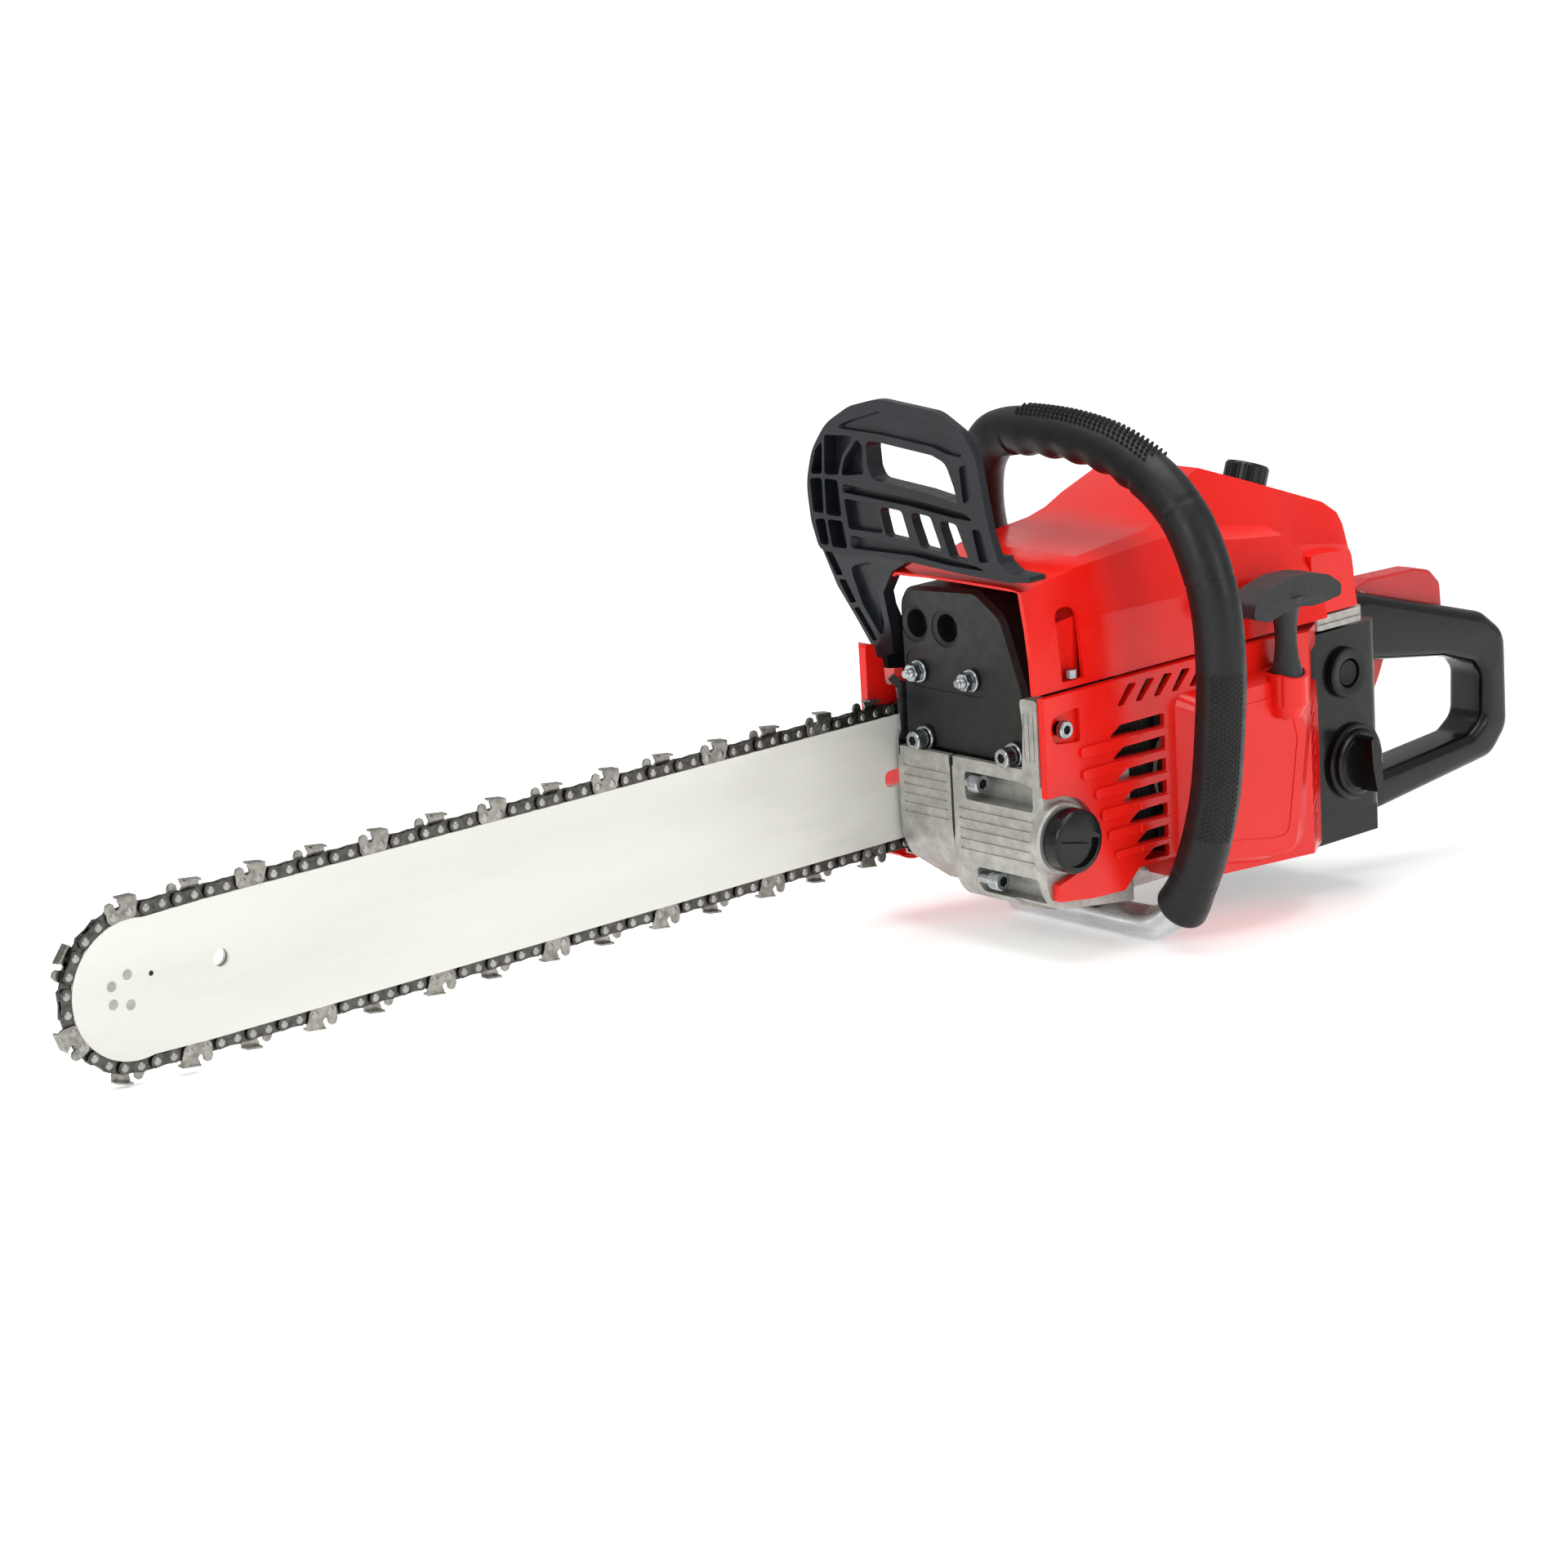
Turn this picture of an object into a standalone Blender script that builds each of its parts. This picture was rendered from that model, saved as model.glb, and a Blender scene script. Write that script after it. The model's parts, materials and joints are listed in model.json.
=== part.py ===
"""Petrol chainsaw with a 20-inch guide bar, as an assembly of separate pieces.

Every size below is in millimetres in saw coordinates, and MM turns it into metres:
x runs back along the bar from the front face of the crankcase, y runs to the clutch side
from the middle of the bar, z runs up from the bar's centre line. The empty named "chainsaw"
then shifts everything so that the origin is the middle of the underside of the whole saw.
"""

import math

import bmesh
import bpy
from mathutils import Matrix, Vector

MM = 0.001
GAP = 0.3  # clearance kept between pieces that touch on the real saw

# Driving dimensions
RIVET_STEP = 8.255  # mean rivet spacing of .325-inch chain
DRIVE_LINKS = 76
SPROCKET_TEETH = 7
BAR_HALF_WIDTH = 31.5
BAR_THICKNESS = 4.6
STUD_X = (24.0, 50.0)
RIVET_LINE = 2.5  # height of the rivets above the bar's edge
NOSE_X = -441.0  # centre of the nose arc
TAIL_X = 40.0  # where the chain leaves the bar's edge for the drive sprocket
ENGINE_Y = -42.0  # plane of the cylinder axis and of the crankcase split
CRANK_RADIUS = 14.0
COVER_WALL = 2.5
BASE_Z = -83.56  # underside of the front handle tube, which the saw stands on
HANDLE_X = 75.0
KNOB_AT = (207.0, -46.0, 115.1)
KNOB_LEAN = math.atan2(32.5, 89.0)  # slope of the cover's rear top
GUARD_X, GUARD_Z = 36.0, 54.0  # pivot of the hand guard
GUARD_FRONT, GUARD_LOW = -7.0, 108.4  # its front face and its lower edge, just over the cover
HANDLE_Y = -48.0  # middle of the rear handle
FRAME_SHIFT = (46.0, 55.5, -BASE_Z)

ROUND = 20  # sides of an ordinary round piece


# ---------------------------------------------------------------- scene and materials
for old in list(bpy.data.objects):
    bpy.data.objects.remove(old)

PARTS = bpy.data.collections.new("Chainsaw")
CUTTERS = bpy.data.collections.new("Cutters")
CUTTERS.hide_render = True
for collection in (PARTS, CUTTERS):
    bpy.context.scene.collection.children.link(collection)

FRAME = bpy.data.objects.new("chainsaw", None)
FRAME.location = Vector(FRAME_SHIFT) * MM
PARTS.objects.link(FRAME)


def finish(name, colour, roughness, metallic=0.0):
    """A plain Principled material."""
    made = bpy.data.materials.new(name)
    made.use_nodes = True
    shader = made.node_tree.nodes["Principled BSDF"]
    shader.inputs["Base Color"].default_value = (*colour, 1.0)
    shader.inputs["Roughness"].default_value = roughness
    shader.inputs["Metallic"].default_value = metallic
    return made


RED = finish("red_cover", (0.80, 0.03, 0.02), 0.3)
RED_DARK = finish("red_lever", (0.65, 0.03, 0.03), 0.35)
BLACK = finish("black_plastic", (0.02, 0.02, 0.02), 0.4)
RUBBER = finish("black_rubber", (0.03, 0.03, 0.03), 0.7)
CAST = finish("cast_alloy", (0.50, 0.50, 0.49), 0.5, 1.0)
ALUMINIUM = finish("polished_aluminium", (0.80, 0.80, 0.80), 0.25, 1.0)
MUFFLER_PAINT = finish("muffler_paint", (0.03, 0.03, 0.03), 0.6)
BAR_PAINT = finish("bar_steel", (0.62, 0.63, 0.58), 0.45, 0.6)
CHAIN_STEEL = finish("chain_steel", (0.18, 0.18, 0.18), 0.4, 1.0)
ZINC = finish("zinc_fastener", (0.65, 0.66, 0.66), 0.3, 1.0)
MACHINED = finish("machined_steel", (0.55, 0.55, 0.55), 0.35, 1.0)
PORCELAIN = finish("porcelain", (0.85, 0.84, 0.80), 0.2)
FILTER_FELT = finish("filter_felt", (0.80, 0.78, 0.70), 0.9)
ROPE = finish("rope", (0.75, 0.73, 0.68), 0.9)


# ---------------------------------------------------------------- modelling helpers
def adopt(obj, name, material, helper=False):
    """Names the object, gives it its material and files it as a part or as a cutter."""
    obj.name = name
    obj.data.name = name
    for holder in list(obj.users_collection):
        holder.objects.unlink(obj)
    if helper:
        CUTTERS.objects.link(obj)
        obj.hide_render = True
        obj.display_type = "WIRE"
    else:
        PARTS.objects.link(obj)
        obj.data.materials.append(material)
    obj.parent = FRAME
    return obj


def new_mesh_object(name, mesh_builder, material, helper=False):
    mesh = bpy.data.meshes.new(name)
    mesh_builder.to_mesh(mesh)
    mesh_builder.free()
    obj = bpy.data.objects.new(name, mesh)
    PARTS.objects.link(obj)
    return adopt(obj, name, material, helper)


def box(name, low, high, material=None, helper=False):
    """A block between two corners."""
    low, high = Vector(low), Vector(high)
    shape = bmesh.new()
    bmesh.ops.create_cube(shape, size=1.0)
    size, middle = (high - low) * MM, (low + high) / 2 * MM
    bmesh.ops.transform(
        shape, matrix=Matrix.Translation(middle) @ Matrix.Diagonal((*size, 1.0)), verts=shape.verts
    )
    return new_mesh_object(name, shape, material, helper)


TURNS = {
    "X": Matrix.Rotation(math.pi / 2, 4, "Y"),
    "Y": Matrix.Rotation(-math.pi / 2, 4, "X"),
    "Z": Matrix.Identity(4),
}


def rod(name, axis, start, length, radius, material=None, helper=False, sides=ROUND, tip=None):
    """A cylinder, or a cone when tip is given, from start along +axis."""
    shape = bmesh.new()
    bmesh.ops.create_cone(
        shape, cap_ends=True, segments=sides, radius1=radius * MM,
        radius2=(radius if tip is None else tip) * MM, depth=length * MM,
    )
    lift = Matrix.Translation((0, 0, length / 2 * MM))
    place = Matrix.Translation(Vector(start) * MM) @ TURNS[axis] @ lift
    bmesh.ops.transform(shape, matrix=place, verts=shape.verts)
    return new_mesh_object(name, shape, material, helper)


def turned(name, axis, at, profile, material, steps=ROUND, helper=False):
    """A solid of revolution: profile is (radius, distance along the axis), outer side from
    the far end to the near end."""
    mesh = bpy.data.meshes.new(name)
    points = [(radius * MM, 0.0, along * MM) for radius, along in profile]
    count = len(points)
    closed = profile[0][0] > 0
    edges = [(i, i + 1) for i in range(count - 1)] + ([(count - 1, 0)] if closed else [])
    mesh.from_pydata(points, edges, [])
    obj = bpy.data.objects.new(name, mesh)
    PARTS.objects.link(obj)
    adopt(obj, name, material, helper)
    obj.location = Vector(at) * MM
    obj.rotation_euler = TURNS[axis].to_euler()
    screw = obj.modifiers.new("Turn", "SCREW")
    screw.axis = "Z"
    screw.steps = steps
    screw.render_steps = steps
    screw.use_merge_vertices = True
    screw.merge_threshold = 0.00005
    return obj


def ring(name, axis, at, outer, inner, length, material, steps=ROUND):
    """A plain bush from at along +axis."""
    corners = [(outer, length), (outer, 0), (inner, 0), (inner, length)]
    return turned(name, axis, at, corners, material, steps)


def curve_solid(name, build):
    """The closed mesh of a filled curve."""
    data = bpy.data.curves.new(name, "CURVE")
    obj = bpy.data.objects.new(name + "_curve", data)
    PARTS.objects.link(obj)
    build(data)
    bpy.context.view_layer.update()
    graph = bpy.context.evaluated_depsgraph_get()
    mesh = bpy.data.meshes.new_from_object(obj.evaluated_get(graph))
    bpy.data.objects.remove(obj)
    shape = bmesh.new()
    shape.from_mesh(mesh)
    bpy.data.meshes.remove(mesh)
    bmesh.ops.remove_doubles(shape, verts=shape.verts, dist=0.000005)
    bmesh.ops.recalc_face_normals(shape, faces=shape.faces)
    return shape


PLANES = {
    "XZ": Matrix(((1, 0, 0, 0), (0, 0, -1, 0), (0, 1, 0, 0), (0, 0, 0, 1))),
    "XY": Matrix.Identity(4),
    "YZ": Matrix(((0, 0, 1, 0), (1, 0, 0, 0), (0, 1, 0, 0), (0, 0, 0, 1))),
}
NORMALS = {"XZ": Vector((0, 1, 0)), "XY": Vector((0, 0, 1)), "YZ": Vector((1, 0, 0))}


def plate(name, plane, outline, low, high, material=None, holes=(), helper=False):
    """An outline in a plane, with holes, given thickness from low to high across it."""

    def build(data):
        data.dimensions = "2D"
        data.fill_mode = "BOTH"
        data.extrude = (high - low) / 2 * MM
        for loop in (outline, *holes):
            spline = data.splines.new("POLY")
            spline.points.add(len(loop) - 1)
            for point, (across, up) in zip(spline.points, loop):
                point.co = (across * MM, up * MM, 0, 1)
            spline.use_cyclic_u = True

    shape = curve_solid(name, build)
    middle = NORMALS[plane] * ((low + high) / 2 * MM)
    bmesh.ops.transform(shape, matrix=Matrix.Translation(middle) @ PLANES[plane], verts=shape.verts)
    bmesh.ops.recalc_face_normals(shape, faces=shape.faces)
    return new_mesh_object(name, shape, material, helper)


def tube(name, points, radius, material, resolution=3, helper=False):
    """A round bar along a line of points."""

    def build(data):
        data.dimensions = "3D"
        data.bevel_depth = radius * MM
        data.bevel_resolution = resolution
        data.use_fill_caps = True
        spline = data.splines.new("POLY")
        spline.points.add(len(points) - 1)
        for point, place in zip(spline.points, points):
            point.co = (*(Vector(place) * MM), 1)

    return new_mesh_object(name, curve_solid(name, build), material, helper)


def boolean(obj, other, operation="DIFFERENCE"):
    step = obj.modifiers.new(operation.title(), "BOOLEAN")
    step.operation = operation
    step.object = other
    return obj


def cut(obj, *cutters):
    for cutter in cutters:
        boolean(obj, cutter)
    return obj


def join(obj, *others):
    """Unites helper shapes with a part."""
    for other in others:
        boolean(obj, other, "UNION")
    return obj


def cut_box(obj, low, high):
    return cut(obj, box(obj.name + "_cut", low, high, helper=True))


def cut_rod(obj, axis, start, length, radius, sides=ROUND):
    return cut(obj, rod(obj.name + "_bore", axis, start, length, radius, helper=True, sides=sides))


def arc(centre, radius, start, end, count):
    """Points of an arc in a plane, angles in degrees."""
    angles = [math.radians(start + (end - start) * i / count) for i in range(count + 1)]
    return [(centre[0] + radius * math.cos(a), centre[1] + radius * math.sin(a)) for a in angles]


def rounded(corners, radius, count=3):
    """A polygon whose corners are rounded to a radius, or to a list of radii."""
    radii = radius if isinstance(radius, (list, tuple)) else [radius] * len(corners)
    points = []
    for i, corner in enumerate(corners):
        here = Vector(corner)
        before, after = Vector(corners[i - 1]) - here, Vector(corners[(i + 1) % len(corners)]) - here
        if radii[i] <= 0:
            points.append(tuple(here))
            continue
        half = before.angle(after) / 2
        back = min(radii[i] / math.tan(half), 0.49 * before.length, 0.49 * after.length)
        start, end = here + before.normalized() * back, here + after.normalized() * back
        for step in range(count + 1):
            t = step / count
            points.append(tuple((1 - t) ** 2 * start + 2 * t * (1 - t) * here + t * t * end))
    return points


def smooth_line(points, per_span):
    """A Catmull-Rom curve through the points."""
    ends = [points[0], *points, points[-1]]
    line = []
    for i in range(len(points) - 1):
        a, b, c, d = (Vector(p) for p in ends[i:i + 4])
        for step in range(per_span):
            t = step / per_span
            line.append(0.5 * (2 * b + (c - a) * t + (2 * a - 5 * b + 4 * c - d) * t * t
                               + (3 * b - a - 3 * c + d) * t ** 3))
    return [*line, Vector(points[-1])]


# ---------------------------------------------------------------- chain loop
SPROCKET_RADIUS = RIVET_STEP / (2 * math.sin(math.pi / (2 * SPROCKET_TEETH)))
NOSE_RADIUS = BAR_HALF_WIDTH + RIVET_LINE
CHAIN_LENGTH = 2 * DRIVE_LINKS * RIVET_STEP


def loop_points(crank_x, offset=0.0, spacing=9.0):
    """The rivet line round nose, bar and sprocket, or a line offset outwards from it,
    starting at the top of the nose and running back along the top of the bar."""
    nose, drive = NOSE_RADIUS + offset, SPROCKET_RADIUS + offset
    reach = Vector((crank_x - TAIL_X, -NOSE_RADIUS))
    slope = math.atan2(reach.y, reach.x) + math.asin(SPROCKET_RADIUS / reach.length)
    turn = 90 + math.degrees(slope)
    corner = (TAIL_X + offset * math.tan(-slope / 2), nose)
    nose_steps = max(6, round(math.pi * nose / spacing))
    top = [*arc((crank_x, 0), drive, turn, 0, 4)]
    upper = [(NOSE_X, nose), corner, *top]
    lower = [(x, -z) for x, z in reversed(upper[:-1])]
    return upper + lower + arc((NOSE_X, 0), nose, 270, 90, nose_steps)[1:-1]


def perimeter(points):
    return sum(math.dist(a, b) for a, b in zip(points, points[1:] + points[:1]))


def find_crank():
    """The crankshaft position at which the loop holds exactly its 76 drive links."""
    low, high = 60.0, 160.0
    while high - low > 0.001:
        middle = (low + high) / 2
        fits = perimeter(loop_points(middle, spacing=2.0)) < CHAIN_LENGTH
        low, high = (middle, high) if fits else (low, middle)
    return low


CRANK_X = find_crank()


def walk(points, distances):
    """Places and outward normals at distances along a closed loop."""
    found, travelled, index = [], 0.0, 0
    ends = points[1:] + points[:1]
    for distance in distances:
        while distance > travelled + math.dist(points[index], ends[index]):
            travelled += math.dist(points[index], ends[index])
            index += 1
        a, b = Vector(points[index]), Vector(ends[index])
        along = (b - a).normalized()
        found.append((a + along * (distance - travelled), Vector((-along.y, along.x))))
    return found


def chain():
    """The saw chain as one closed band with a tooth at every cutter."""
    outline = []
    line = loop_points(CRANK_X, spacing=2.0)
    length = perimeter(line)
    cutters = DRIVE_LINKS // 2
    step = length / cutters
    tooth = ((-1.5, 3.8), (-0.5, 8.0), (13.0, 7.0), (13.6, 3.8), (23.0, 3.8))
    marks = [(k * step + 2.0 + at, height) for k in range(cutters) for at, height in tooth]
    for (place, normal), (_, height) in zip(walk(line, [at for at, _ in marks]), marks):
        outline.append(tuple(place + normal * height))
    inner = loop_points(CRANK_X, -RIVET_LINE + GAP, spacing=8.0)
    return plate("saw_chain", "XZ", outline, -3.3, 3.3, CHAIN_STEEL, [inner])


# ---------------------------------------------------------------- cutting equipment
def guide_bar():
    nose = arc((NOSE_X, 0), BAR_HALF_WIDTH, 90, 270, 16)
    half_tail = [(TAIL_X - 2, -BAR_HALF_WIDTH), (54, -27), (66, -20), (74, -10)]
    tail = half_tail + [(x, -z) for x, z in reversed(half_tail)]
    slot = rounded([(-7, -4.4), (66, -4.4), (66, 4.4), (-7, 4.4)], 3.5, 2)
    half = BAR_THICKNESS / 2
    bar = plate("guide_bar", "XZ", nose + tail, -half, half, BAR_PAINT, [slot])
    for x, z, radius in ((-396.5, 3.5, 3.9), (8, -15, 2.8), (8, 15, 2.8)):
        cut_rod(bar, "Y", (x, -5, z), 10, radius, 12)
    groove = plate("bar_groove", "XZ", loop_points(CRANK_X, 1.0, 10.0), -0.8, 0.8,
                   holes=[loop_points(CRANK_X, -8.5, 10.0)], helper=True)
    hub = arc((NOSE_X, 0), 8.0, 0, 342, 19)
    pocket = plate("nose_pocket", "XZ", arc((NOSE_X, 0), 27.0, 0, 345, 23), -1.1, 1.1, holes=[hub],
                   helper=True)
    return cut(bar, groove, pocket)


def tooth_outline(centre, root, tip, teeth, phase=0.0):
    """A sprocket outline: flat-topped teeth between round gaps."""
    points = []
    for k in range(teeth):
        for share, radius in ((-0.32, root), (-0.14, tip), (0.14, tip), (0.32, root)):
            a = 2 * math.pi * (k + share + phase) / teeth
            points.append((centre[0] + radius * math.cos(a), centre[1] + radius * math.sin(a)))
    return points


def cutting_parts():
    guide_bar()
    chain()
    nose = (NOSE_X, 0)
    plate("nose_sprocket", "XZ", tooth_outline(nose, 22.0, 26.5, 12), -0.5, 0.5, MACHINED,
          [arc(nose, 8.4, 0, 345, 23)])
    plate("drive_sprocket", "XZ", tooth_outline((CRANK_X, 0), 11.5, 15.6, SPROCKET_TEETH), -2.8, 3.0,
          MACHINED, [arc((CRANK_X, 0), 6.4, 0, 345, 23)])
    window = rounded([(10, -15), (73, -15), (73, 15), (10, 15)], 3)
    hooked = [(1, -24), (76, -24), (76, 28), (10, 30), (8, 46), (0, 52), (-3, 50), (2, 44), (3, 24),
              (1, 20)]
    plate("inner_bar_plate", "XZ", hooked, -4.7, -3.8, ZINC, [window])
    for label, x in (("front", STUD_X[0]), ("rear", STUD_X[1])):
        rod(f"bar_stud_{label}", "Y", (x, -22, 0), 68, 3.9, ZINC, sides=16)
        nut = rod(f"bar_nut_{label}", "Y", (x, 38.6, 0), 7.5, 7.5, ZINC, sides=6)
        cut_rod(nut, "Y", (x, 30, 0), 20, 4.2, 16)


# ---------------------------------------------------------------- engine
def crankcase():
    """The two cast halves, split on the engine's centre plane."""
    common = [(165, -62), (165, 36), (62, 36), (62, 12)]
    right_side = [(0, 12), (0, -19), *arc((26, -22), 26, 187, 225, 3), (30, -56), (48, -62)]
    left_side = [(0, 12), (0, -36), *arc((18, -38), 18, 190, 240, 3), (30, -61), (48, -62)]
    right = plate("crankcase_right_half", "XZ", right_side + common, ENGINE_Y + GAP / 2, -5.0, CAST)
    left = plate("crankcase_left_half", "XZ", left_side + common, -78, ENGINE_Y - GAP / 2, CAST)
    oil_tank = plate("oil_tank_block", "XZ",
                     [(0, 12), (0, -34), *arc((18, -36), 18, 190, 240, 3), (58, -58), (58, 12)],
                     -104, -77, helper=True)
    wing = plate("side_wing", "YZ", [(-104, 10), (-93, 10), (-95, 38), (-93, 52), (-104, 52)],
                 -2, 7, helper=True)
    neck = rod("oil_neck", "Y", (9, -108.5, -16), 6, 17, helper=True)
    join(left, oil_tank, wing, neck)
    cut_box(left, (6, -99, -50), (52, -50, 4))
    cut_rod(left, "Y", (12, -112, -16), 40, 7.5)
    # the two pockets in the front face that the long crankcase bolts sit in
    for low, high in (((-5, -97, -3.5), (12, -50, 11)), ((-5, -99, -49), (13, -57, -36))):
        cut_box(left, low, high)
    join(right, plate("bar_pad", "XZ", rounded([(12, -12), (64, -12), (64, 12), (12, 12)], 4),
                      -6, -2.6, helper=True))
    for x in STUD_X:
        cut_rod(right, "Y", (x, -23, 0), 30, 4.3, 16)
    for half in (left, right):
        cut_rod(half, "Y", (CRANK_X, ENGINE_Y - 22, 0), 44, 31)
        cut_rod(half, "Y", (CRANK_X, -90, 0), 100, 8)
        cut_rod(half, "Z", (CRANK_X, ENGINE_Y, 10), 40, 24.5)
    cut_rod(left, "Y", (CRANK_X, -79, 0), 13, 16.3)
    cut_rod(right, "Y", (CRANK_X, -17, 0), 13, 16.3)
    cut_box(right, (84, -19, -36), (128, -4, -20))
    box("oil_pump", (86, -18, -34), (126, -6, -22), MACHINED)
    ring("bearing_left", "Y", (CRANK_X, -77.5, 0), 16.0, 6.4, 11, MACHINED)
    ring("bearing_right", "Y", (CRANK_X, -16.5, 0), 16.0, 6.4, 11, MACHINED)


def cylinder():
    """Finned barrel with a closed head, a bore from below and a plug hole on top."""
    fins, barrel, root = 4, 27.0, 33.0
    profile = [(5.4, 90), (root - 6, 90)]
    for k in range(fins):
        top = 87 - 10.5 * k
        profile += [(barrel, top), (root, top), (root, top - 2.6), (barrel, top - 2.6)]
    profile += [(barrel, 42), (root + 1, 42), (root + 1, 36.3), (22.8, 36.3), (22.8, 80), (5.4, 84)]
    turned("cylinder", "Z", (CRANK_X, ENGINE_Y, 0), profile, CAST, steps=20)
    turned("piston", "Z", (CRANK_X, ENGINE_Y, 0),
           [(0, 62), (22.3, 61), (22.3, 37), (18, 37), (18, 57), (0, 57)], MACHINED, steps=20)
    turned("spark_plug", "Z", (CRANK_X, ENGINE_Y, 0),
           [(0, 106), (2.5, 106), (4.3, 97), (9, 97), (9, 90.4), (5.0, 90.4), (5.0, 80), (0, 80)],
           PORCELAIN, steps=10)


def rotating_parts():
    """Crankshaft with its webs and pin, flywheel with fan blades, clutch and drum."""
    shaft = rod("crankshaft", "Y", (CRANK_X, -97.3, 0), 126.3, 6.0, MACHINED)
    for y in (-62, -33):
        join(shaft, rod(f"web_{y}", "Y", (CRANK_X, y, 0), 11, 22, helper=True))
    join(shaft, rod("crank_pin", "Y", (CRANK_X + CRANK_RADIUS, -55, 0), 26, 5, helper=True))
    cut_box(shaft, (CRANK_X - 7, -51 + GAP, -9), (CRANK_X + 8, -33 - GAP, 9))
    wheel = turned("flywheel", "Y", (CRANK_X, -97.4, 0),
                   [(38, 14), (38, 9), (12, 9), (12, 0), (6.3, 0), (6.3, 14)], CAST)
    blades = 12
    for k in range(blades):
        angle = 2 * math.pi * k / blades
        blade = box(f"blade_{k}", (22, 0, -1.0), (41, 10, 1.0), helper=True)
        blade.location = Vector((CRANK_X, -96.9, 0)) * MM
        blade.rotation_euler = (0, angle, 0)
        join(wheel, blade)
    turned("clutch_drum", "Y", (CRANK_X, 0, 0),
           [(34, 26), (34, 5), (10, 5), (10, 3.3), (6.4, 3.3), (6.4, 8), (32, 8), (32, 26)], MACHINED)
    hub = rod("clutch_hub", "Y", (CRANK_X, 9.5, 0), 12, 12, MACHINED, sides=12)
    cut_rod(hub, "Y", (CRANK_X, 5, 0), 30, 6.3)
    shoes = 3
    for k in range(shoes):
        start = 360 / shoes * k + 8
        outer = arc((CRANK_X, 0), 30.5, start, start + 104, 9)
        inner = arc((CRANK_X, 0), 13.0, start + 104, start, 4)
        plate(f"clutch_shoe_{k + 1}", "XZ", outer + inner, 10, 21, MACHINED)
    band = arc((CRANK_X, 0), 35.8, 20, 330, 20) + arc((CRANK_X, 0), 34.8, 330, 20, 20)
    plate("brake_band", "XZ", band, 12, 22, MACHINED)


def fuel_and_air():
    box("intake_boot", (140.8, -54, 48), (158, -30, 72), RUBBER)
    carburettor = box("carburettor", (158.4, -62, 53), (193, -22, 84), MACHINED)
    cut_rod(carburettor, "X", (150, ENGINE_Y, 66), 60, 9)
    box("air_filter", (196, -78, 57), (236, -6, 90), FILTER_FELT)
    coil = box("ignition_coil", (144, -97, 28), (164, -78.4, 47), RUBBER)
    cut_box(coil, (150, -98, 34), (158, -83, 41))
    step = [(208, -92), (243, -92), (243, 8), (168, 8), (168, -76), (208, -76)]
    plate("carburettor_tray", "XY", step, 44.5, 52, CAST)


# ---------------------------------------------------------------- covers
COVER_SIDE = rounded(
    [(-3, 54.3), (0, 104), (8, 107), (98, 115.5), (147, 137), (236, 104.5), (248, 90), (250, 54.3)],
    [0, 3, 0, 0, 6, 8, 5, 0], 2)


def inset_side(wall):
    """The inner side view of the cylinder cover, open below and in front."""
    return [(-12, 40), (-12, 104 - wall), (8, 107 - wall), (98, 115.5 - wall), (147, 136 - wall),
            (235, 104.5 - wall), (247 - wall, 90 - wall), (250 - wall, 40)]


def cylinder_cover():
    cover = plate("cylinder_cover", "XZ", COVER_SIDE, -105, 14, RED)
    cut(cover, plate("cover_inside", "XZ", inset_side(COVER_WALL), -99, 9, helper=True))
    cut_box(cover, (-20, -8, 40), (44, 40, 150))
    # both flanks lean inwards above the bottom edge
    for side, y, lean in (("left", -105, -5.5), ("right", 74, 9)):
        wedge = box(f"cover_{side}_lean", (-40, -60, -10), (300, 0, 140), helper=True)
        wedge.rotation_euler = (math.radians(lean), 0, 0)
        wedge.location = Vector((0, y, 54)) * MM
        cut(cover, wedge)
    # the upper hump over the filter is narrower than the shroud
    beside = [(104, 118), (140, 118), (262, 98), (262, 150), (104, 150)]
    for name, low, high in (("left", -150, -78), ("right", 2, 62)):
        cut(cover, plate(f"hump_{name}", "XZ", beside, low, high, helper=True))
    cut_box(cover, (17, -120, 58), (30, -99.5, 92))
    bore = knob_piece(rod("knob_bore", "Z", (0, 0, -20), 30, 4.3, helper=True, sides=16))
    cut(cover, bore)
    knob = knob_piece(rod("cover_knob", "Z", (0, 0, 1.0), 10, 11.3, BLACK))
    join(knob, knob_piece(rod("knob_stem", "Z", (0, 0, -16), 18, 3.9, helper=True, sides=16)))


def knob_piece(obj):
    """Stands a piece modelled about the origin on the cover's sloping top."""
    obj.location = Vector(KNOB_AT) * MM
    obj.rotation_euler = (0, KNOB_LEAN, 0)
    return obj


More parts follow.
